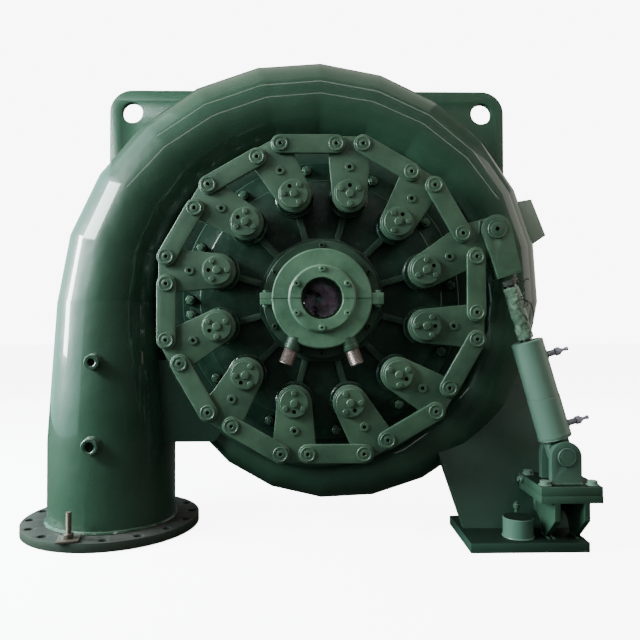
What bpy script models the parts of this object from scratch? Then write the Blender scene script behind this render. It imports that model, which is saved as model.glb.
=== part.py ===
"""Small horizontal-shaft Francis turbine with its spiral casing, guide-vane linkage and servo cylinder.

Every piece is placed in the face frame: x to the right, y up and z towards the viewer, with its
origin where the turbine's axis crosses the front faces of the links. The turbine's axis is z.
"""
import math

import bmesh
import bpy
from mathutils import Matrix, Vector

MM = 0.001
GAP = 0.0003  # left between pieces that touch

# Inlet flange and pipe: nominal bore 400
FLANGE_R = 0.2825
FLANGE_T = 0.028
BOLT_CIRCLE_R = 0.2575
BOLT_HOLE_R = 0.014
BOLT_COUNT = 16
PIPE_R = 0.2032
PIPE_WALL = 0.010
PIPE_STRAIGHT_TOP = -0.445
INLET_X = 0.694  # from the turbine's axis to the pipe's axis
AXIS_HEIGHT = 0.7375  # above the floor

# Distributor: the ring of stay vanes and guide vanes between two flat rings
MIDDLE_Z = -0.265
HALF_CHANNEL = 0.060
RING_T = 0.040
RING_R = 0.530
RING_BORE = 0.400
STAY_VANES = 12

# Spiral casing: its tube shrinks evenly from the inlet to the nose
TUBE_START_R = 0.1755
TUBE_SHRINK = 0.0324 / 90  # per degree
TUBE_ATTACH = 0.065  # half the height at which the shell meets the ring
TUBE_STEP = 15  # degrees between weld seams
TUBE_ARC_POINTS = 15
TUBE_WALL = 0.010
NOSE_ANGLE = 327  # degrees round from the inlet section
NOSE_PLATE = 1  # degrees taken by the plate that closes the nose
SEGMENT_ENDS = (0, 45, 90, 135, 180, 225, 270, NOSE_ANGLE)  # where the shell is divided into nodes
SEGMENT_GAP = 0.03  # degrees

# Nose web: the flat plate between the pipe and the ring, where the spiral ends
NOSE_WEB_FRONT_Z, NOSE_WEB_T = -0.180, 0.012
NOSE_WEB = ((-0.600, -0.453), (-0.3455, -0.453), (-0.310, -0.410), (-0.310, -0.190), (-0.600, -0.190))

# Head cover
COVER_R = 0.437
COVER_SPIGOT_R = 0.395
COVER_FLANGE_Z = -0.125
COVER_STEP_R = 0.380
COVER_FACE_Z = -0.1225
HUB_SIDES_R = 0.190  # across the flats of its twelve-sided foot, halved
HUB_FOOT_Z = -0.092
HUB_R = 0.179
HUB_Z = -0.060
SHAFT_BORE_R = 0.055
RIB_W = 0.020
RIB_Z = -0.095

# Guide-vane levers: twelve stems on one circle
LEVERS = 12
FIRST_LEVER = 15  # degrees
PIVOT_CIRCLE_R = 0.3205
BOSS_R = 0.050
BOSS_FLANGE_R = 0.059
BOSS_FLANGE_T = 0.014
BOSS_Z = -0.066
STEM_R = 0.025
STEM_BORE_R = 0.0263
ARM = 0.155
ARM_SPREAD = 30  # degrees between the two link pins of one lever
LEVER_ROUND_R = 0.052
LEVER_END_R = 0.026
LEVER_FRONT = -0.013
LEVER_T = 0.020
CAP_R = 0.042
CAP_FRONT = 0.004
PIN_R = 0.010
WASHER_R = 0.020
WASHER_T = 0.003
SHEAR_BOSS_R = 0.0135
SHEAR_BOSS_T = 0.004
SHEAR_BOSS_X = 0.083
DRIVE_ARM = 0.242
DRIVE_END_R = 0.042
DRIVE_PIN_R = 0.014
DRIVE_WASHER_R = 0.034
DRIVE_WASHER_T = 0.005

# Guide vanes, one on each stem
VANE_CLEAR = 0.005
VANE_NOSE = 0.065
VANE_TAIL = 0.085
VANE_NOSE_R = 0.014
VANE_TAIL_R = 0.003
VANE_BELLY_R = 0.017

# Links between neighbouring levers
LINK_R = 0.0285
LINK_T = 0.0125
LINK_HOLE_R = 0.0109
LINK_PLAY = 0.0005

# Shaft seal
SEAL_R = 0.150
SEAL_FRONT = -0.012
SEAL_BORE_R = 0.062
EAR_REACH = 0.185
EAR_H = 0.036
EAR_T = 0.030
SEAL_COVER_R = 0.101
SEAL_COVER_T = 0.012
SEAL_COVER_CHAMFER = 0.005
DRAIN_R = 0.022
DRAIN_WALL = 0.003
DRAIN_Z = -0.034
DRAIN_LONG = 0.046
DRAIN_PLACES = {"drain_pipe_left": (-124, -111), "drain_pipe_right": (-57, -69)}  # on the rim, heading
DRAIN_COLLAR_R = 0.025
DRAIN_COLLAR_LONG = 0.040

# Rear cover and the square plate behind the casing
DRAFT_BORE_R = 0.270
DRAFT_BARREL_R = 0.300
DRAFT_FLANGE_R = 0.350
DRAFT_FLANGE_T = 0.029
PLATE_FRONT_Z = -0.4687
PLATE_T = 0.025
PLATE_LEFT, PLATE_RIGHT = -0.776, 0.691
PLATE_BOTTOM, PLATE_TOP = -0.503, 0.799
PLATE_CORNER_R = 0.083
LIFTING_HOLE_R = 0.038

# Foot under the right side
BASE_LEFT, BASE_RIGHT = 0.425, 0.771
BASE_FRONT, BASE_BACK = 0.045, -0.229
BASE_T = 0.0295
LEG_T = 0.022
LEG_FOOT_Z = -0.090
LEG_LEAN = 22  # degrees back from upright
LEG_FOOT = (0.440, 0.770)
LEG_UPRIGHT = 0.140  # the right edge stands upright to this height
LEG_TOP_LEFT, LEG_TOP_RIGHT = (0.366, 0.260), (0.680, 0.520)  # x, height above the foot
PAD_X, PAD_Z, PAD_R, PAD_H = 0.583, -0.018, 0.0445, 0.057

# Servo cylinder, its bracket and its rod
TRUNNION = (0.712, -0.467)
SERVO_Z = -0.023  # middle of the levers' thickness
TRUNNION_R = 0.014
TRUNNION_HEAD_R = 0.027
TRUNNION_HEAD_T = 0.005
EYE_R = 0.033
EYE_T = 0.040
EYE_HOLE_R = 0.0147
LUG_R = 0.045
LUG_T = 0.025
LUG_CLEAR = 0.006
BRACKET_X, BRACKET_HALF = 0.714, 0.0895
BRACKET_FRONT, BRACKET_BACK = 0.060, -0.130
UPPER_PLATE_TOP, UPPER_PLATE_T = -0.545, 0.026
LOWER_PLATE_T = 0.021
GUSSET_SPREAD, GUSSET_T = 0.043, 0.016
BARREL_START, BARREL_SEAM, BARREL_END = 0.054, 0.178, 0.352
COLLAR_R, COLLAR_T = 0.0492, 0.014
BARREL_LOWER_R, BARREL_UPPER_R = 0.0480, 0.0467
ROD_R, ROD_BORE_R = 0.018, 0.0186
ROD_BORE_END = 0.085
ROD_INNER_END = 0.200
ROD_NUT_R, ROD_NUT_START, ROD_NUT_END = 0.027, 0.526, 0.544
FORK_START, FORK_BRIDGE_END = 0.555, 0.592
FORK_R, FORK_HALF = 0.044, 0.037
FORK_T, FORK_CLEAR = 0.014, 0.005
FORK_HOLE_R = 0.019
NIPPLE_PLACES = {"upper_hose_nipple": 0.297, "lower_hose_nipple": 0.0825}

# Small fittings
SIDE_LUG = ((0.655, 0.339), (0.714, 0.349), (0.763, 0.224), (0.708, 0.188))
SIDE_LUG_T = 0.028
SOCKETS = {"upper_socket": (-0.190, 0.023, 0.012), "lower_socket": (-0.442, 0.0255, 0.016)}
SOCKET_REACH = 0.030

# The part's origin is under the middle of its box, on the floor
AXIS_X = (INLET_X + FLANGE_R - BRACKET_X - BRACKET_HALF) / 2
AXIS_Y = (BRACKET_FRONT + MIDDLE_Z - FLANGE_R) / 2
AXIS = Vector((AXIS_X, AXIS_Y, AXIS_HEIGHT))

FLOOR = -AXIS_HEIGHT
BASE_TOP = FLOOR + BASE_T
RING_SIDES = 48
STAY_RING_SIDES = 72
ROUND_SIDES = 20

PAINTS = {
    "green_paint": ((0.055, 0.135, 0.080), 0.40, 0.0),
    "casing_green": ((0.030, 0.110, 0.075), 0.22, 0.0),
    "cast_green": ((0.018, 0.030, 0.024), 0.60, 0.0),
    "copper": ((0.62, 0.36, 0.30), 0.35, 1.0),
    "bright_steel": ((0.55, 0.54, 0.60), 0.35, 1.0),
}


def clear_scene():
    """Take every object out of the file that the script runs in."""
    for old in list(bpy.data.objects):
        bpy.data.objects.remove(old, do_unlink=True)


def new_collection(name, hidden=False):
    """A collection of the scene, new each run."""
    found = bpy.data.collections.get(name)
    if found:
        bpy.data.collections.remove(found)
    made = bpy.data.collections.new(name)
    bpy.context.scene.collection.children.link(made)
    made.hide_render = hidden
    return made


def make_paints():
    """One Principled material for each finish."""
    made = {}
    for name, (colour, roughness, metallic) in PAINTS.items():
        paint = bpy.data.materials.new(name)
        paint.use_nodes = True
        shader = paint.node_tree.nodes["Principled BSDF"]
        shader.inputs["Base Color"].default_value = (*colour, 1.0)
        shader.inputs["Roughness"].default_value = roughness
        shader.inputs["Metallic"].default_value = metallic
        made[name] = paint
    return made


clear_scene()
TURBINE = new_collection("francis_turbine")
CUTTERS = new_collection("cutters", hidden=True)
PAINT = make_paints()
FACE = bpy.data.objects.new("face_frame", None)
FACE.location = AXIS
FACE.rotation_euler = (math.radians(90), 0, 0)
TURBINE.objects.link(FACE)


def polar(radius, degrees):
    """A point of the face at this radius and angle."""
    angle = math.radians(degrees)
    return Vector((radius * math.cos(angle), radius * math.sin(angle)))


def hidden(piece):
    """Make a piece a cutter or a shape to be joined, which is no node of its own."""
    piece.hide_render = True
    piece.display_type = "WIRE"
    return piece


def place(name, mesh, paint, parent=None, at=(0, 0, 0), turn=(0, 0, 0), spare=False):
    """A mesh as an object of the turbine, or as a spare shape among the cutters."""
    piece = bpy.data.objects.new(name, mesh)
    piece.parent = parent or FACE
    piece.location = at
    piece.rotation_euler = [math.radians(angle) for angle in turn]
    if paint:
        mesh.materials.clear()
        mesh.materials.append(PAINT[paint])
    (CUTTERS if spare else TURBINE).objects.link(piece)
    if spare:
        hidden(piece)
    return piece


def mesh_of(name, build):
    """A new mesh whose bmesh is filled by the function build."""
    mesh = bpy.data.meshes.new(name)
    shape = bmesh.new()
    build(shape)
    shape.to_mesh(mesh)
    shape.free()
    return mesh


def box_mesh(name, low, high):
    """A box between two corners."""
    size = [b - a for a, b in zip(low, high)]
    middle = [(a + b) / 2 for a, b in zip(low, high)]
    move = Matrix.Translation(middle) @ Matrix.Diagonal((*size, 1))
    return mesh_of(name, lambda shape: bmesh.ops.create_cube(shape, size=1, matrix=move))


def add_rod(shape, radius, low, high, at=(0, 0), sides=ROUND_SIDES, far_radius=None):
    """Add a cylinder or cone along z to a bmesh."""
    bmesh.ops.create_cone(
        shape,
        cap_ends=True,
        segments=sides,
        radius1=radius,
        radius2=radius if far_radius is None else far_radius,
        depth=high - low,
        matrix=Matrix.Translation((at[0], at[1], (low + high) / 2)),
    )


def rod_mesh(name, radius, low, high, at=(0, 0), sides=ROUND_SIDES):
    """A cylinder along z."""
    return mesh_of(name, lambda shape: add_rod(shape, radius, low, high, at, sides))


def turned_mesh(name, profile, sides):
    """A closed profile of (radius, z) points turned round z."""
    mesh = bpy.data.meshes.new(name)
    closed = [(i, (i + 1) % len(profile)) for i in range(len(profile))]
    mesh.from_pydata([(radius, 0, z) for radius, z in profile], closed, [])
    spin = bpy.data.objects.new(name, mesh)
    CUTTERS.objects.link(spin)
    screw = spin.modifiers.new("turn", "SCREW")
    screw.steps = screw.render_steps = sides
    screw.use_merge_vertices = True
    screw.merge_threshold = 0.1 * MM
    return finished(spin, name)


def finished(piece, name):
    """The evaluated mesh of an object, welded and facing out, with the object removed."""
    bpy.context.view_layer.update()
    graph = bpy.context.evaluated_depsgraph_get()
    mesh = bpy.data.meshes.new_from_object(piece.evaluated_get(graph))
    mesh.name = name
    shape = bmesh.new()
    shape.from_mesh(mesh)
    bmesh.ops.remove_doubles(shape, verts=shape.verts, dist=0.01 * MM)
    bmesh.ops.recalc_face_normals(shape, faces=shape.faces)
    shape.to_mesh(mesh)
    shape.free()
    bpy.data.objects.remove(piece, do_unlink=True)
    return mesh


def flat_mesh(name, points, low, high):
    """A flat outline with thickness from low to high along z."""
    curve = bpy.data.curves.new(name, "CURVE")
    curve.dimensions = "2D"
    curve.fill_mode = "BOTH"
    curve.extrude = (high - low) / 2
    line = curve.splines.new("POLY")
    line.points.add(len(points) - 1)
    for spot, (x, y) in zip(line.points, points):
        spot.co = (x, y, 0, 1)
    line.use_cyclic_u = True
    plate = bpy.data.objects.new(name, curve)
    CUTTERS.objects.link(plate)
    mesh = finished(plate, name)
    mesh.transform(Matrix.Translation((0, 0, (low + high) / 2)))
    return mesh


def arc(centre, radius, start, end, points):
    """Points on an arc, counter-clockwise, both ends included."""
    step = (end - start) / (points - 1)
    return [Vector(centre) + polar(radius, start + step * i) for i in range(points)]


def tangent_angle(first, first_r, second, second_r):
    """Direction, in degrees, in which a belt running counter-clockwise leaves the first circle."""
    run = Vector(second) - Vector(first)
    heading = math.degrees(math.atan2(run.y, run.x))
    return heading - math.degrees(math.acos((first_r - second_r) / run.length))


def belt(circles, points=6):
    """Outline of a tight belt round circles given counter-clockwise as (centre, radius)."""
    count = len(circles)
    leaves = [tangent_angle(*circles[i], *circles[(i + 1) % count]) for i in range(count)]
    outline = []
    for i, (centre, radius) in enumerate(circles):
        start, end = leaves[i - 1], leaves[i]
        while end <= start:
            end += 360
        outline += arc(centre, radius, start, end, points)
    return outline


def combine(piece, *others, operation="UNION"):
    """Join the other objects to a piece, or cut them from it, with live Boolean modifiers."""
    for other in others:
        step = piece.modifiers.new(other.name, "BOOLEAN")
        step.operation = operation
        step.solver = "EXACT"
        step.object = other


def baked(name, base, joins=(), cuts=()):
    """One mesh made of a base mesh, meshes joined to it and meshes cut from it."""
    piece = place(name, base, None, spare=True, parent=None)
    helpers = []
    for index, (mesh, operation) in enumerate([(m, "UNION") for m in joins] + [(m, "DIFFERENCE") for m in cuts]):
        helper = place(f"{name}_{index}", mesh, None, spare=True)
        helpers.append(helper)
        combine(piece, helper, operation=operation)
    mesh = finished(piece, name)
    for helper in helpers:
        bpy.data.objects.remove(helper, do_unlink=True)
    return mesh


def around(count, first, build):
    """Call build with each angle of an even circle."""
    for index in range(count):
        build(first + index * 360 / count)


def tube_radius(turned):
    """Radius of the casing's tube at so many degrees round from the inlet."""
    return TUBE_START_R - TUBE_SHRINK * turned


def tube_section(turned, grow=0.0):
    """Points (radius, z) of the casing's section, from its front edge round the outside to its rear edge."""
    radius = tube_radius(turned)
    centre = RING_R + GAP
    edge = centre / math.cos(math.radians(TUBE_STEP / 2)) - centre  # keeps the chords between seams off the ring
    reach = math.sqrt(max(radius**2 - TUBE_ATTACH**2, 0))
    tall = max(radius, TUBE_ATTACH)
    start = math.degrees(math.acos((edge - reach) / radius))
    points = []
    for index in range(TUBE_ARC_POINTS):
        angle = math.radians(start - 2 * start * index / (TUBE_ARC_POINTS - 1))
        along = centre + reach + (radius + grow) * math.cos(angle)
        points.append((along, MIDDLE_Z + (tall + grow) * math.sin(angle)))
    return points


def tube_row(shape, turned, grow=0.0):
    """The section's points as new vertices, so many degrees round from the inlet."""
    row = []
    for radius, z in tube_section(turned, grow):
        spot = polar(radius, 180 - turned)
        row.append(shape.verts.new((spot.x, spot.y, z)))
    return row


def bridge_rows(shape, first, second, closed=False):
    """Faces between two rows of vertices."""
    count = len(first)
    for i in range(count if closed else count - 1):
        j = (i + 1) % count
        shape.faces.new((first[i], first[j], second[j], second[i]))


def seams(start, end):
    """The angles of the weld seams from start to end, both included."""
    inside = [angle for angle in range(0, NOSE_ANGLE, TUBE_STEP) if start < angle < end]
    return [start, *inside, end]


def add_shell(shape, start, end, nose):
    """One length of the shell: a wall along the outer section, closed by a plate where it is the nose."""
    wall_end = end - NOSE_PLATE if nose else end
    rows = []
    for turned in seams(start, wall_end):
        rows.append(tube_row(shape, turned) + tube_row(shape, turned, -TUBE_WALL)[::-1])
    for first, second in zip(rows, rows[1:]):
        bridge_rows(shape, first, second, closed=True)
    half = TUBE_ARC_POINTS
    bridge_rows(shape, rows[0][:half], rows[0][:half - 1:-1])
    outer, inner = rows[-1][:half], rows[-1][half:]
    if nose:
        tip = tube_row(shape, end)
        shape.faces.new([outer[-1], *inner, outer[0]])
        bridge_rows(shape, outer, tip, closed=True)
        shape.faces.new(tip)
    else:
        bridge_rows(shape, outer, inner[::-1])
    bmesh.ops.recalc_face_normals(shape, faces=shape.faces)


def add_casing_space(shape):
    """The space that the casing fills, a little larger, for cutting what is welded to it."""
    rows = []
    for turned in seams(0, NOSE_ANGLE):
        row = tube_row(shape, turned, GAP)
        for vertex in (row[-1], row[0]):
            spot = polar(RING_R - 0.02, 180 - turned)
            row.append(shape.verts.new((spot.x, spot.y, vertex.co.z)))
        rows.append(row)
    for first, second in zip(rows, rows[1:]):
        bridge_rows(shape, first, second, closed=True)
    shape.faces.new(rows[0])
    shape.faces.new(rows[-1])
    bmesh.ops.recalc_face_normals(shape, faces=shape.faces)


def make_casing():
    """The spiral shell of mitred rings, in lengths that are welded end to end."""
    for index, (start, end) in enumerate(zip(SEGMENT_ENDS, SEGMENT_ENDS[1:])):
        name = f"spiral_casing_{index + 1}"
        first = start + SEGMENT_GAP if start else start
        nose = end == NOSE_ANGLE
        place(name, mesh_of(name, lambda shape: add_shell(shape, first, end, nose)), "casing_green")


def make_inlet():
    """The bolted flange on the floor and the pipe that rises from it to the spiral."""
    top = FLOOR + FLANGE_T

    def add_holes(shape):
        for index in range(BOLT_COUNT):
            spot = polar(BOLT_CIRCLE_R, (index + 0.5) * 360 / BOLT_COUNT)
            add_rod(shape, BOLT_HOLE_R, -0.1, 0.1, spot, sides=10)

    ring = [(PIPE_R - PIPE_WALL, 0), (FLANGE_R, 0), (FLANGE_R, FLANGE_T), (PIPE_R - PIPE_WALL, FLANGE_T)]
    flange = baked(
        "inlet_flange",
        turned_mesh("flange_ring", ring, RING_SIDES),
        cuts=[mesh_of("flange_holes", add_holes)],
    )
    upright = (-90, 0, 0)
    place("inlet_flange", flange, "casing_green", at=(-INLET_X, FLOOR, MIDDLE_Z), turn=upright)
    outer = [(PIPE_R, top + GAP), (PIPE_R, PIPE_STRAIGHT_TOP), (TUBE_START_R, -GAP)]
    inner = [(radius - PIPE_WALL, height) for radius, height in reversed(outer)]
    pipe = baked(
        "inlet_pipe",
        turned_mesh("pipe_wall", outer + inner, RING_SIDES),
        cuts=[ring_cutter()],
    )
    place("inlet_pipe", pipe, "casing_green", at=(-INLET_X, 0, MIDDLE_Z), turn=upright)
    for name, (height, radius, hole) in SOCKETS.items():
        make_socket(name, height, radius, hole)


def ring_cutter():
    """The stay ring's outside, in the inlet pipe's own frame, where the pipe is cut to meet it."""
    cutter = rod_mesh("ring_outside", RING_R + 0.001, -0.3, 0.3, sides=2 * RING_SIDES)
    cutter.transform(Matrix.Translation((INLET_X, 0, 0)) @ Matrix.Rotation(math.radians(90), 4, "X"))
    return cutter


def pipe_radius(height):
    """Outside radius of the inlet pipe at a height of the face frame."""
    if height <= PIPE_STRAIGHT_TOP:
        return PIPE_R
    return TUBE_START_R + (PIPE_R - TUBE_START_R) * height / PIPE_STRAIGHT_TOP


def make_socket(name, height, radius, hole):
    """A threaded socket welded to the front of the inlet pipe."""
    back = pipe_radius(height - radius) + GAP
    front = back + SOCKET_REACH
    ring = [(hole, back), (radius, back), (radius, front), (hole, front)]
    place(name, turned_mesh(name, ring, ROUND_SIDES), "green_paint", at=(-INLET_X, height, MIDDLE_Z))


def make_stay_ring():
    """Two flat rings held apart by the stay vanes."""
    front = MIDDLE_Z + HALF_CHANNEL + RING_T
    rings = []
    for side in (1, -1):
        near = MIDDLE_Z + side * HALF_CHANNEL
        far = near + side * RING_T
        low, high = min(near, far), max(near, far)
        profile = [(RING_BORE, low), (RING_R, low), (RING_R, high), (RING_BORE, high)]
        rings.append(turned_mesh("stay_ring_half", profile, STAY_RING_SIDES))

    def add_vanes(shape):
        for index in range(STAY_VANES):
            degrees = (index + 0.5) * 360 / STAY_VANES
            spot = polar((RING_R + RING_BORE) / 2, degrees)
            turn = Matrix.Rotation(math.radians(degrees + 60), 4, "Z")
            move = Matrix.Translation((spot.x, spot.y, MIDDLE_Z))
            size = Matrix.Diagonal((0.100, 0.018, 2 * HALF_CHANNEL + 0.010, 1))
            bmesh.ops.create_cube(shape, size=1, matrix=move @ turn @ size)

    ring = baked("stay_ring", rings[0], joins=[rings[1], mesh_of("stay_vanes", add_vanes)])
    place("stay_ring", ring, "casing_green")
    return front


def make_nose_web():
    """The flat plate in the corner where the spiral's thin end comes back to the inlet pipe."""
    web = flat_mesh("nose_web", NOSE_WEB, NOSE_WEB_FRONT_Z - NOSE_WEB_T, NOSE_WEB_FRONT_Z)
    ring = [(0.3, -0.3), (RING_R + GAP, -0.3), (RING_R + GAP, -0.1), (0.3, -0.1)]
    pipe = [
        (0.05, FLOOR),
        (PIPE_R + GAP, FLOOR),
        (PIPE_R + GAP, PIPE_STRAIGHT_TOP),
        (TUBE_START_R + GAP, 0),
        (0.05, 0),
    ]
    pipe_space = turned_mesh("pipe_space", pipe, RING_SIDES)
    pipe_space.transform(Matrix.Translation((-INLET_X, 0, MIDDLE_Z)) @ Matrix.Rotation(math.radians(-90), 4, "X"))
    cuts = [turned_mesh("ring_space", ring, STAY_RING_SIDES), pipe_space]
    place("nose_web", baked("nose_web", web, cuts=cuts), "green_paint")


def make_head_cover(ring_front):
    """The cast cover with its hub, ribs and twelve stem bosses."""
    inner = MIDDLE_Z + HALF_CHANNEL
    profile = [
        (SHAFT_BORE_R, inner),
        (COVER_SPIGOT_R, inner),
        (COVER_SPIGOT_R, ring_front + GAP),
        (COVER_R, ring_front + GAP),
        (COVER_R, COVER_FLANGE_Z),
        (COVER_STEP_R, COVER_FLANGE_Z),
        (COVER_STEP_R, COVER_FACE_Z),
        (HUB_R, COVER_FACE_Z),
        (HUB_R, HUB_Z),
        (SHAFT_BORE_R, HUB_Z),
    ]
    corner_r = HUB_SIDES_R / math.cos(math.pi / LEVERS)
    foot = [(0.120, COVER_FACE_Z - 0.010), (corner_r, COVER_FACE_Z - 0.010), (corner_r, HUB_FOOT_Z), (0.120, HUB_FOOT_Z)]
    hub_foot = turned_mesh("hub_foot", foot, LEVERS)
    hub_foot.transform(Matrix.Rotation(math.radians(FIRST_LEVER), 4, "Z"))

    def add_bosses(shape):
        def one(degrees):
            add_rod(shape, BOSS_R, COVER_FACE_Z - 0.010, BOSS_Z - 0.005, polar(PIVOT_CIRCLE_R, degrees))

        around(LEVERS, FIRST_LEVER, one)

    def add_flanges(shape):
        def one(degrees):
            add_rod(shape, BOSS_FLANGE_R, BOSS_Z - BOSS_FLANGE_T, BOSS_Z, polar(PIVOT_CIRCLE_R, degrees))

        around(LEVERS, FIRST_LEVER, one)

    def add_bores(shape):
        def one(degrees):
            add_rod(shape, STEM_BORE_R, -0.300, 0, polar(PIVOT_CIRCLE_R, degrees), sides=16)

        around(LEVERS, FIRST_LEVER, one)

    def add_ribs(shape):
        start, end = HUB_R - 0.010, PIVOT_CIRCLE_R - BOSS_R + 0.010
        tall = RIB_Z - COVER_FACE_Z + 0.008

        def one(degrees):
            spot = polar((start + end) / 2, degrees)
            move = Matrix.Translation((spot.x, spot.y, RIB_Z - tall / 2))
            turn = Matrix.Rotation(math.radians(degrees), 4, "Z")
            size = Matrix.Diagonal((end - start, RIB_W, tall, 1))
            bmesh.ops.create_cube(shape, size=1, matrix=move @ turn @ size)

        around(LEVERS, FIRST_LEVER, one)

    cover = baked(
        "head_cover",
        turned_mesh("cover_disc", profile, RING_SIDES),
        joins=[hub_foot, mesh_of("bosses", add_bosses), mesh_of("flanges", add_flanges), mesh_of("ribs", add_ribs)],
        cuts=[mesh_of("stem_bores", add_bores)],
    )
    place("head_cover", cover, "cast_green")


def make_seal():
    """The split seal housing on the hub, its cover plate and its two drain pipes."""
    back = HUB_Z + GAP
    ring = [(SEAL_BORE_R, back), (SEAL_R, back), (SEAL_R, SEAL_FRONT), (SEAL_BORE_R, SEAL_FRONT)]
    ear_back = SEAL_FRONT - 0.004 - EAR_T
    ears = box_mesh("ears", (-EAR_REACH, -EAR_H / 2, ear_back), (EAR_REACH, EAR_H / 2, SEAL_FRONT - 0.004))
    bore = rod_mesh("seal_bore", SEAL_BORE_R, -0.1, 0.1, sides=RING_SIDES)
    pockets, collars = [], []
    for rim, heading in DRAIN_PLACES.values():
        start = polar(SEAL_R - 0.012, rim)
        collar = rod_mesh("collar", DRAIN_COLLAR_R, 0, DRAIN_COLLAR_LONG)
        collar.transform(drain_frame(start, heading))
        collars.append(collar)
        pocket = rod_mesh("pocket", DRAIN_R - DRAIN_WALL, 0.008, DRAIN_COLLAR_LONG + 0.010)
        pocket.transform(drain_frame(start, heading))
        pockets.append(pocket)
    housing = baked(
        "seal_housing",
        turned_mesh("seal_ring", ring, RING_SIDES),
        joins=[ears, *collars],
        cuts=[bore, *pockets],
    )
    place("seal_housing", housing, "green_paint")
    front = SEAL_FRONT + GAP + SEAL_COVER_T
    cover = [
        (SEAL_BORE_R, SEAL_FRONT + GAP),
        (SEAL_COVER_R, SEAL_FRONT + GAP),
        (SEAL_COVER_R, front - SEAL_COVER_CHAMFER),
        (SEAL_COVER_R - SEAL_COVER_CHAMFER, front),
        (SEAL_BORE_R, front),
    ]
    place("seal_cover", turned_mesh("seal_cover", cover, RING_SIDES), "green_paint")
    for name, (rim, heading) in DRAIN_PLACES.items():
        start = polar(SEAL_R - 0.012, rim)
        wall = [
            (DRAIN_R - DRAIN_WALL, DRAIN_COLLAR_LONG + GAP),
            (DRAIN_R, DRAIN_COLLAR_LONG + GAP),
            (DRAIN_R, DRAIN_COLLAR_LONG + DRAIN_LONG),
            (DRAIN_R - DRAIN_WALL, DRAIN_COLLAR_LONG + DRAIN_LONG),
        ]
        stub = turned_mesh(name, wall, ROUND_SIDES)
        stub.transform(drain_frame(start, heading))
        place(name, stub, "copper")


def drain_frame(start, heading):
    """Frame whose z runs along a drain pipe."""
    along = Vector((*polar(1, heading), 0))
    turn = Vector((0, 0, 1)).rotation_difference(along).to_matrix().to_4x4()
    return Matrix.Translation((start.x, start.y, DRAIN_Z)) @ turn


def make_rear():
    """The rear cover with the draft-tube flange, and the plate that the casing hangs on."""
    inner = MIDDLE_Z - HALF_CHANNEL
    ring_back = inner - RING_T - GAP
    plate_back = PLATE_FRONT_Z - PLATE_T
    profile = [
        (DRAFT_BORE_R, inner),
        (COVER_SPIGOT_R, inner),
        (COVER_SPIGOT_R, ring_back),
        (COVER_R, ring_back),
        (COVER_R, ring_back - 0.030),
        (DRAFT_BARREL_R, ring_back - 0.030),
        (DRAFT_BARREL_R, plate_back - GAP),
        (DRAFT_FLANGE_R, plate_back - GAP),
        (DRAFT_FLANGE_R, plate_back - DRAFT_FLANGE_T),
        (DRAFT_BORE_R, plate_back - DRAFT_FLANGE_T),
    ]
    place("rear_cover", turned_mesh("rear_cover", profile, RING_SIDES), "casing_green")
    corners = [
        ((PLATE_RIGHT, PLATE_BOTTOM), -90),
        ((PLATE_RIGHT, PLATE_TOP), 0),
        ((PLATE_LEFT, PLATE_TOP), 90),
        ((PLATE_LEFT, PLATE_BOTTOM), 180),
    ]
    outline, holes = [], []
    for (x, y), start in corners:
        inset_x = x - math.copysign(PLATE_CORNER_R, x)
        inset_y = y - math.copysign(PLATE_CORNER_R, y)
        outline += arc((inset_x, inset_y), PLATE_CORNER_R, start, start + 90, 7)
        if y > 0:
            holes.append(rod_mesh("lifting_hole", LIFTING_HOLE_R, -0.6, -0.4, (inset_x, inset_y)))
    middle = rod_mesh("middle_hole", DRAFT_BARREL_R + 0.001, -0.6, -0.4, sides=RING_SIDES)
    plate = baked(
        "back_plate",
        flat_mesh("plate", outline, plate_back, PLATE_FRONT_Z),
        cuts=[*holes, middle],
    )
    place("back_plate", plate, "green_paint")


def make_foot():
    """The base plate, the leaning leg that carries the casing, and the round pad beside it."""
    base = box_mesh("base_plate", (BASE_LEFT, FLOOR, BASE_BACK), (BASE_RIGHT, BASE_TOP, BASE_FRONT))
    place("base_plate", base, "green_paint")
    stretch = 1 / math.cos(math.radians(LEG_LEAN))
    outline = [
        (LEG_FOOT[0], -0.05),
        (LEG_FOOT[1], -0.05),
        (LEG_FOOT[1], LEG_UPRIGHT * stretch),
        (LEG_TOP_RIGHT[0], LEG_TOP_RIGHT[1] * stretch),
        (LEG_TOP_LEFT[0], LEG_TOP_LEFT[1] * stretch),
        (LEG_FOOT[0], 0),
    ]
    leg = flat_mesh("leg", outline, -LEG_T, 0)
    lean = Matrix.Rotation(math.radians(-LEG_LEAN), 4, "X")
    leg.transform(Matrix.Translation((0, BASE_TOP + GAP, LEG_FOOT_Z)) @ lean)
    ground = box_mesh("ground", (0.2, BASE_TOP - 0.3, -0.5), (1.0, BASE_TOP + GAP, 0.3))
    casing = mesh_of("casing_space", add_casing_space)
    place("leg_plate", baked("leg_plate", leg, cuts=[ground, casing]), "green_paint")
    pad = rod_mesh("levelling_pad", PAD_R, 0, PAD_H)
    place("levelling_pad", pad, "green_paint", at=(PAD_X, BASE_TOP + GAP, PAD_Z), turn=(-90, 0, 0))
    lug = flat_mesh("side_lug", SIDE_LUG, MIDDLE_Z - SIDE_LUG_T / 2, MIDDLE_Z + SIDE_LUG_T / 2)
    outside = mesh_of("casing_space_at_lug", add_casing_space)
    place("side_lug", baked("side_lug", lug, cuts=[outside]), "green_paint")


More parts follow.
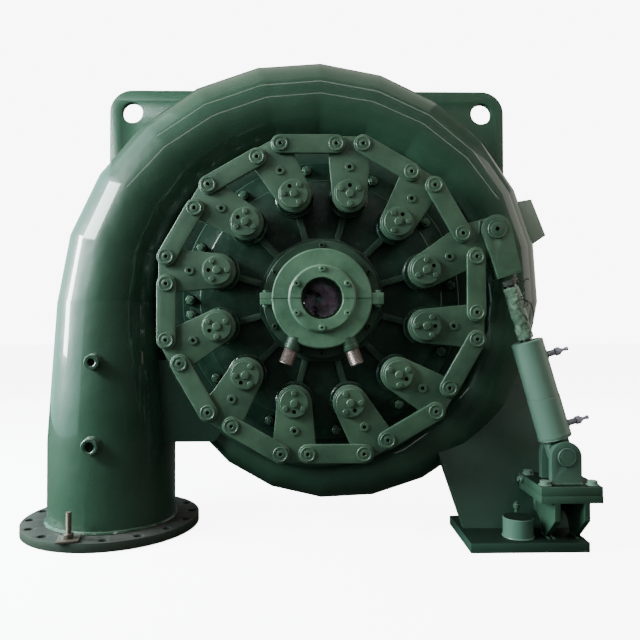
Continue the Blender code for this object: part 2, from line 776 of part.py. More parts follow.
def make_servo_bracket():
    """The two stacked plates on gussets, with the ears and the pin that carry the cylinder."""
    left, right = BRACKET_X - BRACKET_HALF, BRACKET_X + BRACKET_HALF
    upper_bottom = UPPER_PLATE_TOP - UPPER_PLATE_T
    lower_top = upper_bottom - GAP
    lower_bottom = lower_top - LOWER_PLATE_T
    foot = BASE_TOP + GAP
    side = [
        (BRACKET_FRONT, lower_bottom + 0.005),
        (BRACKET_FRONT, lower_bottom - 0.050),
        (-0.013, foot),
        (-0.047, foot),
        (-0.060, foot + 0.033),
        (-0.098, foot + 0.061),
        (-0.105, lower_bottom + 0.005),
    ]
    gussets = []
    for place_x in (BRACKET_X - GUSSET_SPREAD, BRACKET_X + GUSSET_SPREAD):
        gusset = flat_mesh("gusset", [(-z, y) for z, y in side], -GUSSET_T / 2, GUSSET_T / 2)
        gusset.transform(Matrix.Translation((place_x, 0, 0)) @ Matrix.Rotation(math.radians(90), 4, "Y"))
        gussets.append(gusset)
    table = box_mesh("table", (left, lower_bottom, BRACKET_BACK), (right, lower_top, BRACKET_FRONT))
    place("bracket_table", baked("bracket_table", table, joins=gussets), "green_paint")
    plate = box_mesh("plate", (left, upper_bottom, BRACKET_BACK), (right, UPPER_PLATE_TOP, BRACKET_FRONT))
    ears = []
    inner = EYE_T / 2 + LUG_CLEAR
    for low in (SERVO_Z + inner, SERVO_Z - inner - LUG_T):
        outline = arc(TRUNNION, LUG_R, 0, 180, 13)
        outline += [(TRUNNION[0] - LUG_R, UPPER_PLATE_TOP - 0.005), (TRUNNION[0] + LUG_R, UPPER_PLATE_TOP - 0.005)]
        ears.append(flat_mesh("ear", outline, low, low + LUG_T))
    hole = rod_mesh("pin_hole", TRUNNION_R + GAP, -0.2, 0.2, TRUNNION)
    place("trunnion_bracket", baked("trunnion_bracket", plate, joins=ears, cuts=[hole]), "green_paint")
    front = SERVO_Z + inner + LUG_T + GAP
    back = SERVO_Z - inner - LUG_T - 0.006
    head = rod_mesh("pin_head", TRUNNION_HEAD_R, front, front + TRUNNION_HEAD_T)
    pin = baked("trunnion_pin", rod_mesh("pin", TRUNNION_R, back, front + 0.002), joins=[head])
    place("trunnion_pin", pin, "green_paint", at=(*TRUNNION, 0))


def lever_pins():
    """The two link pins of a lever in its own frame, whose x points along its first arm."""
    return Vector((ARM, 0)), polar(ARM, ARM_SPREAD)


def lever_outline(drive):
    """The lever's plate: a belt round its stem and its two link pins, and on the first round the drive pin."""
    near, far = lever_pins()
    circles = [(Vector((0, 0)), LEVER_ROUND_R), (near, LEVER_END_R), (far, LEVER_END_R)]
    if drive:
        circles.insert(2, (polar(DRIVE_ARM, ARM_SPREAD / 2), DRIVE_END_R))
    return belt(circles, 5)


def vane_outline():
    """The guide vane's section, nose towards +y and tail towards -y when the lever is at rest."""
    nose = (Vector((0, VANE_NOSE - VANE_NOSE_R)), VANE_NOSE_R)
    belly = (Vector((0, 0.012)), VANE_BELLY_R)
    tail = (Vector((0, -VANE_TAIL + VANE_TAIL_R)), VANE_TAIL_R)
    return belt([tail, belly, nose, belly], 4)


def lever_mesh(drive):
    """A lever with its cap, stem, link pins and guide vane, with the stem's axis on z."""
    name = "drive_lever" if drive else "lever"
    back = LEVER_FRONT - LEVER_T
    vane_front = MIDDLE_Z + HALF_CHANNEL - VANE_CLEAR
    vane_back = MIDDLE_Z - HALF_CHANNEL + VANE_CLEAR
    washer_back = LINK_PLAY

    def add_turned(shape):
        add_rod(shape, CAP_R, LEVER_FRONT - 0.005, CAP_FRONT)
        for spot in lever_pins():
            add_rod(shape, WASHER_R, washer_back, washer_back + WASHER_T, spot, sides=20)
        spot = polar(SHEAR_BOSS_X, ARM_SPREAD / 2)
        add_rod(shape, SHEAR_BOSS_R, LEVER_FRONT - 0.004, LEVER_FRONT + SHEAR_BOSS_T, spot, sides=12)

    def add_cores(shape):
        add_rod(shape, STEM_R, vane_front - 0.006, back + 0.006, sides=16)
        for spot in lever_pins():
            add_rod(shape, PIN_R, LEVER_FRONT - 0.006, washer_back + 0.001, spot, sides=12)

    joins = [mesh_of("turned", add_turned), mesh_of("cores", add_cores)]
    joins.append(flat_mesh("vane", vane_outline(), vane_back, vane_front))
    if drive:
        tip = polar(DRIVE_ARM, ARM_SPREAD / 2)
        half_fork = LEVER_T / 2 + FORK_CLEAR + FORK_T
        front = SERVO_Z + half_fork + LINK_PLAY
        rear = SERVO_Z - half_fork - LINK_PLAY
        joins.append(rod_mesh("drive_pin", DRIVE_PIN_R, rear - 0.002, front + 0.002, tip, sides=16))
        joins.append(rod_mesh("drive_washer", DRIVE_WASHER_R, front, front + DRIVE_WASHER_T, tip))
        joins.append(rod_mesh("rear_washer", DRIVE_WASHER_R, rear - DRIVE_WASHER_T, rear, tip))
    return baked(name, flat_mesh("lever_plate", lever_outline(drive), back, LEVER_FRONT), joins=joins)


def link_mesh():
    """A link along +x with its first hole on the origin."""
    pitch = 2 * PIVOT_CIRCLE_R * math.sin(math.pi / LEVERS)
    ends = [Vector((0, 0)), Vector((pitch, 0))]
    plate = flat_mesh("link_plate", belt([(ends[0], LINK_R), (ends[1], LINK_R)], 8), -LINK_T, 0)
    holes = [rod_mesh("link_hole", LINK_HOLE_R, -0.1, 0.1, end, sides=16) for end in ends]
    return baked("link", plate, cuts=holes)


def make_linkage():
    """Twelve levers on their stems, each joined to the next by a link."""
    plain, first, link = lever_mesh(drive=False), lever_mesh(drive=True), link_mesh()
    for index in range(LEVERS):
        degrees = FIRST_LEVER + index * 360 / LEVERS
        pivot = polar(PIVOT_CIRCLE_R, degrees)
        stem = bpy.data.objects.new(f"stem_axis_{index + 1:02d}", None)
        stem.parent = FACE
        stem.location = (pivot.x, pivot.y, 0)
        stem.rotation_euler = (0, 0, math.radians(degrees))
        TURBINE.objects.link(stem)
        name = "drive_lever" if index == 0 else f"lever_{index + 1:02d}"
        place(name, first if index == 0 else plain, "green_paint", parent=stem)
        pin = lever_pins()[1]
        pull = 90 + 180 / LEVERS
        place(f"link_{index + 1:02d}", link, "green_paint", parent=stem, at=(*pin, 0), turn=(0, 0, pull))


def drive_pin_place():
    """The drive pin at rest, in the face frame."""
    return polar(PIVOT_CIRCLE_R, FIRST_LEVER) + polar(DRIVE_ARM, FIRST_LEVER + ARM_SPREAD / 2)


def make_servo():
    """The servo cylinder on its pin, and the rod with the fork that holds the drive lever."""
    run = drive_pin_place() - Vector(TRUNNION)
    axis = bpy.data.objects.new("servo_axis", None)
    axis.parent = FACE
    axis.location = (*TRUNNION, SERVO_Z)
    axis.rotation_euler = (0, 0, math.atan2(run.y, run.x) - math.radians(90))
    TURBINE.objects.link(axis)
    along = Matrix.Rotation(math.radians(-90), 4, "X")
    profile = [
        (0, BARREL_START),
        (COLLAR_R, BARREL_START),
        (COLLAR_R, BARREL_START + COLLAR_T),
        (BARREL_LOWER_R, BARREL_START + COLLAR_T),
        (BARREL_LOWER_R, BARREL_SEAM),
        (BARREL_UPPER_R, BARREL_SEAM),
        (BARREL_UPPER_R, BARREL_END),
        (0, BARREL_END),
    ]
    barrel = turned_mesh("barrel", profile, ROUND_SIDES)
    bore = rod_mesh("rod_bore", ROD_BORE_R, ROD_BORE_END, BARREL_END + 0.05)
    for mesh in (barrel, bore):
        mesh.transform(along)
    eye = arc((0, 0), EYE_R, 180, 360, 11) + [(EYE_R, BARREL_START + 0.010), (-EYE_R, BARREL_START + 0.010)]
    eye_plate = flat_mesh("eye", eye, -EYE_T / 2, EYE_T / 2)
    hole = rod_mesh("eye_hole", EYE_HOLE_R, -0.1, 0.1)
    cylinder = baked("servo_cylinder", barrel, joins=[eye_plate], cuts=[bore, hole])
    place("servo_cylinder", cylinder, "green_paint", parent=axis)
    for name, height in NIPPLE_PLACES.items():
        make_nipple(name, height, axis)
    make_rod(run.length, axis, along)


def make_nipple(name, height, axis):
    """A hose nipple screwed into the side of the cylinder."""
    wall = (BARREL_LOWER_R if height < BARREL_SEAM else BARREL_UPPER_R) + GAP
    profile = [(0, 0), (0.0095, 0), (0.0085, 0.025), (0.013, 0.025), (0.013, 0.041), (0.0075, 0.044)]
    profile += [(0.0045, 0.050), (0.0045, 0.056), (0.006, 0.062), (0.006, 0.066), (0, 0.066)]
    mesh = turned_mesh(name, profile, 12)
    mesh.transform(Matrix.Translation((wall, height, 0)) @ Matrix.Rotation(math.radians(90), 4, "Y"))
    place(name, mesh, "bright_steel", parent=axis)


def make_rod(reach, axis, along):
    """The piston rod, its lock nut and the fork whose eye is at the end of the reach."""
    half_gap = LEVER_T / 2 + FORK_CLEAR
    depth = half_gap + FORK_T
    rod = rod_mesh("rod", ROD_R, ROD_INNER_END, FORK_START + 0.010)
    nut = rod_mesh("nut", ROD_NUT_R, ROD_NUT_START, ROD_NUT_END, sides=6)
    for mesh in (rod, nut):
        mesh.transform(along)
    bridge = box_mesh("bridge", (-FORK_HALF, FORK_START, -depth), (FORK_HALF, FORK_BRIDGE_END, depth))
    plates = []
    for low in (half_gap, -depth):
        outline = arc((0, reach), FORK_R, 0, 180, 13)
        outline += [(-FORK_HALF, FORK_BRIDGE_END - 0.010), (FORK_HALF, FORK_BRIDGE_END - 0.010)]
        plates.append(flat_mesh("fork_plate", outline, low, low + FORK_T))
    hole = rod_mesh("fork_hole", FORK_HOLE_R, -0.1, 0.1, (0, reach))
    place("servo_rod", baked("servo_rod", bridge, joins=[rod, nut, *plates], cuts=[hole]), "bright_steel", parent=axis)


def smooth_round_faces():
    """Shade every piece smooth but for its sharp edges."""
    for piece in TURBINE.objects:
        if piece.type == "MESH":
            piece.data.shade_smooth()
            piece.data.set_sharp_from_angle(angle=math.radians(35))


make_inlet()
make_casing()
make_nose_web()
make_head_cover(make_stay_ring())
make_seal()
make_rear()
make_foot()
make_servo_bracket()
make_linkage()
make_servo()
smooth_round_faces()
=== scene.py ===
# %% [markdown]
# A small Francis turbine of the horizontal-shaft kind: a welded spiral casing, a ring of twelve
# guide-vane levers tied by links, and one servo cylinder that swings them all together.
# The CAD model comes first, as a fixed frame. Every piece below is placed by that frame, rides on
# one of its bodies, and takes over from the plain solid of the same place.

# %% Load the frame
import math

import bmesh
import bpy
from mathutils import Matrix, Vector


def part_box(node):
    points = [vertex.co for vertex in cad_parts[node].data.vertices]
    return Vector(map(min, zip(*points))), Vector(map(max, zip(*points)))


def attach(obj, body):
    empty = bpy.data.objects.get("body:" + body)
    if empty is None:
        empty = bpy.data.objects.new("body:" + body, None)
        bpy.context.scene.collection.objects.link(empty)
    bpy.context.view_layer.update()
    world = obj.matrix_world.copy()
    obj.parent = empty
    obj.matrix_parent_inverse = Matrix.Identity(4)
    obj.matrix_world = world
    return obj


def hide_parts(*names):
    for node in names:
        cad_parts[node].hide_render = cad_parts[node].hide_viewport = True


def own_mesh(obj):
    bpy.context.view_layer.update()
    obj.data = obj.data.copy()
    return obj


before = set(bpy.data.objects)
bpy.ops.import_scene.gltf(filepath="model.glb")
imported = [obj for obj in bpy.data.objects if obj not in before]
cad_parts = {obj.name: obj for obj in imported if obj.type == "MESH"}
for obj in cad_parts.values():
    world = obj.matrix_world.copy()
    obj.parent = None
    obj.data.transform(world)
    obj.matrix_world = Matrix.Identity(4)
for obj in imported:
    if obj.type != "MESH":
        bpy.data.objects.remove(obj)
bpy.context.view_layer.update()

# %% [markdown]
# A machine like this is easiest to draw on its face: x to the right, y up, z towards the viewer,
# with the origin where the shaft's axis meets the front faces of the links. The frame itself says
# where that point is: the seal cover is round the axis, and the links' fronts lie on z = 0.
# Blender's primitives are round z, so anything turned about the shaft starts upright here and is
# stood up into the world at the end.

# %% Find the shaft's axis
def spin(degrees, axis):
    """A turn about one axis."""
    return Matrix.Rotation(math.radians(degrees), 4, axis)


def move(x=0.0, y=0.0, z=0.0, turn=0.0):
    """A place on the face, turned about z."""
    return Matrix.Translation((x, y, z)) @ spin(turn, "Z")


def polar(radius, degrees):
    """A point of the face."""
    angle = math.radians(degrees)
    return Vector((radius * math.cos(angle), radius * math.sin(angle)))


def around(count, first=0):
    """Equal steps round a circle, in degrees."""
    return [first + 360 / count * index for index in range(count)]


cover_low, cover_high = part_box("seal_cover")
AXIS = Vector((
    (cover_low.x + cover_high.x) / 2,
    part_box("link_01")[0].y,
    (cover_low.z + cover_high.z) / 2,
))
FACE = Matrix.Translation(AXIS) @ spin(90, "X")
UPRIGHT = spin(-90, "X")  # turns a piece's z into the face's y
FLOOR = -AXIS.z
MIDDLE_Z = -0.265  # middle of the casing, behind the links
TWELVE = around(12, 15)  # where the levers stand
HAIR = 0.0003  # a gap that keeps the faces of two pieces out of one plane
print("shaft axis at", [round(v, 4) for v in AXIS])

# %% [markdown]
# Blender's operators act on whatever is selected, and the frame's nodes arrive selected. So each
# step first selects one piece alone. In edit mode, edges and points are then picked by where they
# are or which way they run, which is what a click would do.

# %% Select one piece, and parts of it
def alone(piece):
    """Select one piece and nothing else, in object mode."""
    if bpy.context.mode != "OBJECT":
        bpy.ops.object.mode_set(mode="OBJECT")
    bpy.ops.object.select_all(action="DESELECT")
    piece.select_set(True)
    bpy.context.view_layer.objects.active = piece
    return piece


def open_up(piece, kind="FACE", action="SELECT"):
    """Go into edit mode with everything selected, or nothing."""
    alone(piece)
    bpy.ops.object.mode_set(mode="EDIT")
    bpy.ops.mesh.select_mode(type=kind)
    bpy.ops.mesh.select_all(action=action)


def pick(piece, kind, test):
    """Go into edit mode with the verts or edges selected that pass a test."""
    open_up(piece, kind.upper()[:-1], "DESELECT")
    for part in getattr(bmesh.from_edit_mesh(piece.data), kind):
        if test(part):
            part.select_set(True)
    bmesh.update_edit_mesh(piece.data)


def upright(edge):
    """Whether an edge runs along z."""
    return abs((edge.verts[0].co - edge.verts[1].co).normalized().z) > 0.9


def close_up():
    """Point every face outwards and leave edit mode."""
    bpy.ops.mesh.select_all(action="SELECT")
    bpy.ops.mesh.normals_make_consistent(inside=False)
    bpy.ops.object.mode_set(mode="OBJECT")


def primitive(kind, **values):
    """One of Blender's own shapes."""
    bpy.ops.object.select_all(action="DESELECT")
    getattr(bpy.ops.mesh, f"primitive_{kind}_add")(**values)
    return bpy.context.object


# %% [markdown]
# Most of a turbine comes off a lathe. The lathe here is a circle that is extruded along the axis
# and scaled to each radius of the profile in turn. A ring's profile comes back to where it began;
# a solid's ends are closed by flat faces.

# %% Turn a piece from its profile
def turned(profile, sides=64, ring=True):
    """A ring round z from (radius, z) points."""
    radius, height = profile[0]
    piece = primitive("circle", vertices=sides, radius=radius, location=(0, 0, height),
                      fill_type="NOTHING" if ring else "NGON")
    open_up(piece, "VERT")
    for wide, high in [*profile[1:], *profile[:int(ring)]]:
        bpy.ops.mesh.extrude_region_move(TRANSFORM_OT_translate={"value": (0, 0, high - height)})
        if abs(wide - radius) > 1e-7:
            grow = wide / radius
            bpy.ops.transform.resize(value=(grow, grow, 1), center_override=(0, 0, high))
        radius, height = wide, high
    if ring:
        bpy.ops.mesh.select_all(action="SELECT")
        bpy.ops.mesh.remove_doubles(threshold=0.00002)
    close_up()
    bpy.ops.object.transform_apply()
    return piece


def solid(profile, sides):
    """A turned piece without a bore."""
    return turned(profile, sides, ring=False)


def flat_ring(bore, radius, low, high):
    """Profile of a ring with square edges."""
    return [(bore, low), (radius, low), (radius, high), (bore, high)]


# %% [markdown]
# Plates come next. A lever or a link is the shape that a tight belt takes round two or more
# discs, so it is made that way: discs are added where the eyes are, and their convex hull is
# taken. A straight-sided plate is a cube at its size and place, trimmed by planes.

# %% Make plates
def joined(pieces):
    """Several pieces as one object, each keeping its own material."""
    alone(pieces[0])
    for piece in pieces:
        piece.select_set(True)
    if len(pieces) > 1:
        bpy.ops.object.join()
    return bpy.context.object


def disc(radius, low, high, at=(0, 0), sides=48):
    """A round blank along z."""
    piece = primitive("cylinder", vertices=sides, radius=radius, depth=high - low,
                      location=(*at, (low + high) / 2))
    bpy.ops.object.transform_apply()
    return piece


def discs(radius, spots, sides):
    """Long round cutters along z, as one piece."""
    return joined([disc(radius, -1, 1, at, sides) for at in spots])


def belt_plate(circles, low, high, sides=48):
    """The plate inside a tight belt round discs given as (centre, radius)."""
    piece = joined([disc(radius, low, high, at, sides) for at, radius in circles])
    open_up(piece)
    bpy.ops.mesh.convex_hull(delete_unused=True, use_existing_faces=False, join_triangles=False)
    bpy.ops.mesh.select_all(action="SELECT")
    bpy.ops.mesh.dissolve_limited(angle_limit=math.radians(1))
    close_up()
    return piece


def plate_of(corners, low, high, soft=0.002):
    """A flat plate with these corners, each slightly rounded."""
    corners = [Vector(corner) for corner in corners]
    centre = sum(corners, Vector((0, 0))) / len(corners)
    circles = [(corner + (centre - corner).normalized() * soft * 1.3, soft) for corner in corners]
    return belt_plate(circles, low, high, 16)


def block(low, high):
    """A block between two corners."""
    low, high = Vector(low), Vector(high)
    piece = primitive("cube", size=1, location=(low + high) / 2, scale=high - low)
    bpy.ops.object.transform_apply()
    return piece


def trim(piece, point, outward):
    """Cut a piece off flat at a point, keeping the side that outward points away from."""
    open_up(piece)
    bpy.ops.mesh.bisect(plane_co=point, plane_no=outward, use_fill=True, clear_outer=True)
    close_up()
    return piece


# %% [markdown]
# No real edge is sharp: a small bevel on each one catches the light and is what makes steel look
# like steel. Holes are Boolean cuts. Both are modifiers, applied at once so that the finished mesh
# is plain.

# %% Ease edges, cut, weld and place
def modified(piece, kind, **values):
    """Apply one modifier with these values."""
    step = piece.modifiers.new("step", kind)
    for key, value in values.items():
        setattr(step, key, value)
    alone(piece)
    bpy.ops.object.modifier_apply(modifier=step.name)
    return piece


def ease(piece, width, segments=2, angle=32):
    """Round every edge sharper than the angle."""
    return modified(piece, "BEVEL", width=width, segments=segments, limit_method="ANGLE",
                    angle_limit=math.radians(angle))


def drop(*pieces):
    """Take spare pieces out of the scene."""
    for piece in pieces:
        bpy.data.objects.remove(piece, do_unlink=True)


def cut(piece, *others, operation="DIFFERENCE"):
    """Take cutters out of a piece."""
    for other in others:
        modified(piece, "BOOLEAN", operation=operation, solver="EXACT", object=other)
        drop(other)
    return piece


def weld(piece, *others):
    """Make several solids one."""
    return cut(piece, *others, operation="UNION")


def put(piece, matrix):
    """Move a piece and apply it, so that its place is in its mesh."""
    alone(piece)
    piece.matrix_world = matrix
    bpy.ops.object.transform_apply()
    return piece


def copied(piece, matrix=Matrix()):
    """A copy with its own mesh, moved to its place."""
    twin = piece.copy()
    twin.data = piece.data.copy()
    bpy.context.scene.collection.objects.link(twin)
    return put(twin, matrix)


def copies(piece, places):
    """Copies of a piece joined into one, in place of the piece."""
    made = [copied(piece, place) for place in places]
    drop(piece)
    return joined(made)


def scattered(piece, radius, angles, z):
    """A small piece at points of a circle, each turned differently as a spanner leaves it."""
    return copies(piece, [move(*polar(radius, a), z, 37 * i) for i, a in enumerate(angles)])


# %% [markdown]
# Welds hold the casing together, and their beads show as a lumpy fillet. A bead is a round line
# along the seam, made a mesh and pushed about by a clouds texture.

# %% Lay weld beads
RIPPLE = bpy.data.textures.new("weld_ripple", "CLOUDS")
RIPPLE.noise_scale = 0.012


def bead(points, size, closed=False):
    """A weld bead along points of the face."""
    line = bpy.data.curves.new("bead", "CURVE")
    line.dimensions, line.bevel_depth, line.bevel_resolution = "3D", size, 2
    line.use_fill_caps = True
    spline = line.splines.new("POLY")
    spline.points.add(len(points) - 1)
    for spot, point in zip(spline.points, points):
        spot.co = (*Vector(point).to_3d(), 1)
    spline.use_cyclic_u = closed
    piece = bpy.data.objects.new("bead", line)
    bpy.context.scene.collection.objects.link(piece)
    alone(piece)
    bpy.ops.object.convert(target="MESH")
    piece = bpy.context.object
    open_up(piece, "VERT")
    bpy.ops.mesh.remove_doubles(threshold=0.00001)
    close_up()
    return modified(piece, "DISPLACE", texture=RIPPLE, strength=size * 0.7, mid_level=0.5)


def line_points(start, end, step):
    """Points along a straight seam."""
    start, end = Vector(start), Vector(end)
    count = max(2, int((end - start).length / step))
    return [start.lerp(end, i / count) for i in range(count + 1)]


def seam(start, end, size=0.0035, step=0.004):
    """A straight bead."""
    return bead(line_points(start, end, step), size)


def loop(radius, z, per_radian=8):
    """Points round z."""
    turns = [i / per_radian for i in range(round(2 * math.pi * per_radian))]
    return [(radius * math.cos(turn), radius * math.sin(turn), z) for turn in turns]


# %% [markdown]
# Paint is the whole look of this machine, so its effects are node groups that every finish shares.
# The first varies a colour as sprayed enamel does: broad thin and thick patches, fine specks of
# dust, and a dull film that settles on upward faces. All of it is read from the object's own
# coordinates in metres, and each piece's origin is the world's, so no pattern slides.

# %% Node helpers
def fill(made, **values):
    """Set a node's values by name. A socket given as a value is linked."""
    for key, value in values.items():
        if hasattr(made, key):
            setattr(made, key, value)
        elif isinstance(value, bpy.types.NodeSocket):
            made.id_data.links.new(value, made.inputs[key.replace("_", " ")])
        else:
            made.inputs[key.replace("_", " ")].default_value = value
    return made


def node(tree, kind, spot=(0, 0), **values):
    """A node with its values."""
    made = tree.nodes.new("ShaderNode" + kind)
    made.location = spot
    return fill(made, **values)


def fed(made, *sockets):
    """A node's first output, with its inputs linked in turn."""
    for socket, into in zip(sockets, made.inputs):
        made.id_data.links.new(socket, into)
    return made.outputs[0]


def maths(tree, operation, first, second, clamp=False):
    """Two sockets worked into one."""
    return fed(node(tree, "Math", operation=operation, use_clamp=clamp), first, second)


def stretch(tree, value, low, high):
    """A socket's value from low to high, as 0 to 1."""
    return node(tree, "MapRange", From_Min=low, From_Max=high, Value=value).outputs["Result"]


def group_with(name, colours, floats, outputs):
    """A new node group, with its inputs' sockets and its output node."""
    group = bpy.data.node_groups.new(name, "ShaderNodeTree")
    for labels, kind, way in ((colours, "Color", "INPUT"), (floats, "Float", "INPUT"), *outputs):
        for label in labels:
            group.interface.new_socket(label, in_out=way, socket_type="NodeSocket" + kind)
    return group, group.nodes.new("NodeGroupInput").outputs, group.nodes.new("NodeGroupOutput")


def tint(red, green, blue):
    """An eight-bit screen colour as the linear colour that a shader wants."""
    def linear(value):
        value /= 255
        return value / 12.92 if value <= 0.04045 else ((value + 0.055) / 1.055) ** 2.4
    return (linear(red), linear(green), linear(blue), 1.0)


# %% Build the shared paint groups
def build_paint_film():
    """Colour and dust of old enamel."""
    tree, given, result = group_with(
        "paint_film", ("Paint", "Thin", "Dust"),
        ("Patch Size", "Patch Amount", "Speck Size", "Speck Amount", "Dust Amount"),
        ((("Colour",), "Color", "OUTPUT"), (("Dust Mask",), "Float", "OUTPUT")))
    place = node(tree, "TexCoord").outputs["Object"]
    patches = node(tree, "TexNoise", Detail=5, Roughness=0.6, Vector=place, Scale=given["Patch Size"])
    patches = stretch(tree, patches.outputs["Fac"], 0.35, 0.68)
    amount = maths(tree, "MULTIPLY", patches, given["Patch Amount"])
    thin = node(tree, "Mix", data_type="RGBA", Factor=amount, A=given["Paint"], B=given["Thin"])
    specks = node(tree, "TexNoise", Detail=3, Roughness=0.7, Vector=place, Scale=given["Speck Size"])
    specks = stretch(tree, specks.outputs["Fac"], 0.56, 0.72)
    flecked = maths(tree, "MULTIPLY", specks, given["Speck Amount"])
    normal = node(tree, "NewGeometry").outputs["Normal"]
    upward = node(tree, "SeparateXYZ", Vector=normal).outputs["Z"]
    drift = maths(tree, "MULTIPLY", stretch(tree, upward, 0.25, 1), given["Dust Amount"])
    patchy = maths(tree, "MULTIPLY", drift, patches)
    lying = maths(tree, "MAXIMUM", flecked, patchy, clamp=True)
    dusty = node(tree, "Mix", data_type="RGBA", Factor=lying, A=thin.outputs["Result"], B=given["Dust"])
    fill(result, Colour=dusty.outputs["Result"], Dust_Mask=lying)
    return tree


def build_uneven():
    """Height of orange peel over long waves, or of a sand-cast skin."""
    tree, given, result = group_with(
        "uneven_skin", (), ("Wave Size", "Wave Height", "Grain Size", "Grain Height"),
        ((("Height",), "Float", "OUTPUT"),))
    place = node(tree, "TexCoord").outputs["Object"]
    heights = []
    for kind in ("Wave", "Grain"):
        noise = node(tree, "TexNoise", Detail=2, Roughness=0.5, Vector=place, Scale=given[kind + " Size"])
        heights.append(maths(tree, "MULTIPLY", noise.outputs["Fac"], given[kind + " Height"]))
    fill(result, Height=maths(tree, "ADD", *heights))
    return tree


PAINT_FILM = build_paint_film()
UNEVEN_SKIN = build_uneven()
print("groups", PAINT_FILM.name, UNEVEN_SKIN.name)

# %% [markdown]
# Each finish is one material: the film group gives its colour, the uneven group its skin, and the
# Principled shader its gloss. Values that are the same all over are set on the shader itself.

# %% Mix the paints
def enamel(name, paint, thin, dust=(120, 122, 115), patch=(4, 0.5), speck=(260, 0.15), dusty=0.25,
           gloss=(0.4, 0.6), skin=(6, 1, 300, 0.2), depth=0.002, **values):
    """A painted finish. Sizes are in waves to the metre."""
    made = bpy.data.materials.new(name)
    made.use_nodes = True
    tree = made.node_tree
    film = node(tree, "Group", (-600, 100), node_tree=PAINT_FILM, Paint=tint(*paint),
                Thin=tint(*thin), Dust=tint(*dust), Patch_Size=patch[0], Patch_Amount=patch[1],
                Speck_Size=speck[0], Speck_Amount=speck[1], Dust_Amount=dusty).outputs
    rough = node(tree, "MapRange", (-350, -100), To_Min=gloss[0], To_Max=gloss[1], Value=film["Dust Mask"])
    uneven = node(tree, "Group", (-600, -300), node_tree=UNEVEN_SKIN, Wave_Size=skin[0],
                  Wave_Height=skin[1], Grain_Size=skin[2], Grain_Height=skin[3])
    bump = node(tree, "Bump", (-350, -300), Strength=1, Distance=depth, Height=uneven.outputs["Height"])
    fill(tree.nodes["Principled BSDF"], Base_Color=film["Colour"], Roughness=rough.outputs["Result"],
         Normal=bump.outputs["Normal"], Coat_Roughness=0.05, **values)
    return made


CASING = enamel("casing_gloss_green", (34, 60, 45), (46, 73, 57), gloss=(0.38, 0.55),
                skin=(9, 1, 180, 0.03), depth=0.004, Coat_Weight=0.8, Specular_IOR_Level=0.35)
RING = enamel("ring_dark_green", (22, 44, 34), (34, 58, 46), gloss=(0.35, 0.6), skin=(20, 0.6, 260, 0.2))
LEVER = enamel("lever_satin_green", (49, 72, 57), (70, 94, 75), patch=(11, 0.8))
CAST = enamel("cover_dark_green", (19, 42, 32), (40, 62, 50), dust=(84, 100, 90), patch=(13, 0.9),
              speck=(60, 0.25), gloss=(0.3, 0.55), skin=(24, 1, 260, 0.1))
GLAND = enamel("gland_near_black", (12, 26, 20), (24, 42, 33), gloss=(0.14, 0.3))
HUB = enamel("hub_green", (30, 52, 40), (52, 76, 60), patch=(16, 0.9))
NUTS = enamel("nut_green", (52, 78, 62), (70, 96, 78), gloss=(0.35, 0.55))
SEAL = enamel("seal_green", (61, 91, 71), (88, 119, 96), patch=(14, 0.9), speck=(120, 0.2))
FOOT = enamel("foot_green", (33, 56, 46), (45, 70, 57), dust=(56, 72, 62))
# A darker finish for the tops of the foot, the pad and the bracket plate: painted shade, with little gloss.
TOP_SHADE = enamel("foot_top_painted_shade", (12, 24, 19), (20, 33, 27), dust=(26, 38, 32), gloss=(0.6, 0.8),
               Specular_IOR_Level=0.15)
SERVO = enamel("servo_pale_green", (80, 106, 93), (98, 122, 108), gloss=(0.38, 0.55))
BRACKET = enamel("bracket_green", (42, 68, 54), (58, 84, 68))
EAR = enamel("ear_green", (56, 82, 70), (72, 98, 84))
PAD = enamel("pad_green", (64, 94, 80), (80, 110, 96), gloss=(0.35, 0.55))
LUG = enamel("lug_grey_green", (124, 138, 128), (140, 154, 142))
PLATE = enamel("back_plate_green", (34, 64, 48), (46, 78, 60), gloss=(0.35, 0.55))
RIM = enamel("flange_rim_grey_green", (40, 50, 42), (58, 66, 56), gloss=(0.45, 0.7))
GREY = enamel("flange_top_grey", (40, 42, 40), (60, 59, 55), dust=(70, 69, 64), gloss=(0.6, 0.8))
# Near-black paint for holes and for pins seen through holes: painted shade, with little gloss.
HOLE_SHADE = enamel("painted_hole_shade_black", (5, 6, 6), (8, 9, 9), gloss=(0.6, 0.8), Specular_IOR_Level=0.1)
COPPER = enamel("copper_stub", (150, 132, 130), (178, 158, 154), gloss=(0.35, 0.5), Metallic=0.8)
NIPPLE = enamel("nipple_grey", (142, 137, 154), (160, 155, 172), gloss=(0.35, 0.5))
RUST = enamel("stud_brown", (88, 80, 72), (112, 100, 88), gloss=(0.5, 0.7), Metallic=0.6)
STEEL = enamel("rod_steel", (120, 120, 122), (150, 150, 152), gloss=(0.25, 0.4), Metallic=1)
FILM = enamel("wrapping_film", (54, 74, 62), (112, 132, 114), dust=(176, 192, 172), patch=(46, 1),
              speck=(120, 0.5), gloss=(0.18, 0.4))
WORN = enamel("nut_grey_brown", (48, 52, 46), (72, 74, 66), dust=(84, 84, 76), patch=(60, 0.8),
              gloss=(0.35, 0.6))
STRAND = enamel("torn_strand", (20, 26, 23), (44, 54, 48), gloss=(0.3, 0.5))
# The bore film's near-black base is painted shade, and its teal and pink patches are painted reflections.
BORE_FILM_SHADE_AND_REFLECTIONS = enamel("bore_film_painted_shade_and_reflections", (10, 12, 20), (255, 214, 250), dust=(150, 255, 248), patch=(20, 1),
                   speck=(12, 0.95), dusty=0.75, gloss=(0.2, 0.4))
print("finishes", len(bpy.data.materials))

# %% [markdown]
# A piece gets its paint while it is still near the origin, where its faces are easy to tell apart.
# Then its parts are joined, put in place and smoothed, and the frame is told which body it rides
# on and which solids it stands for.

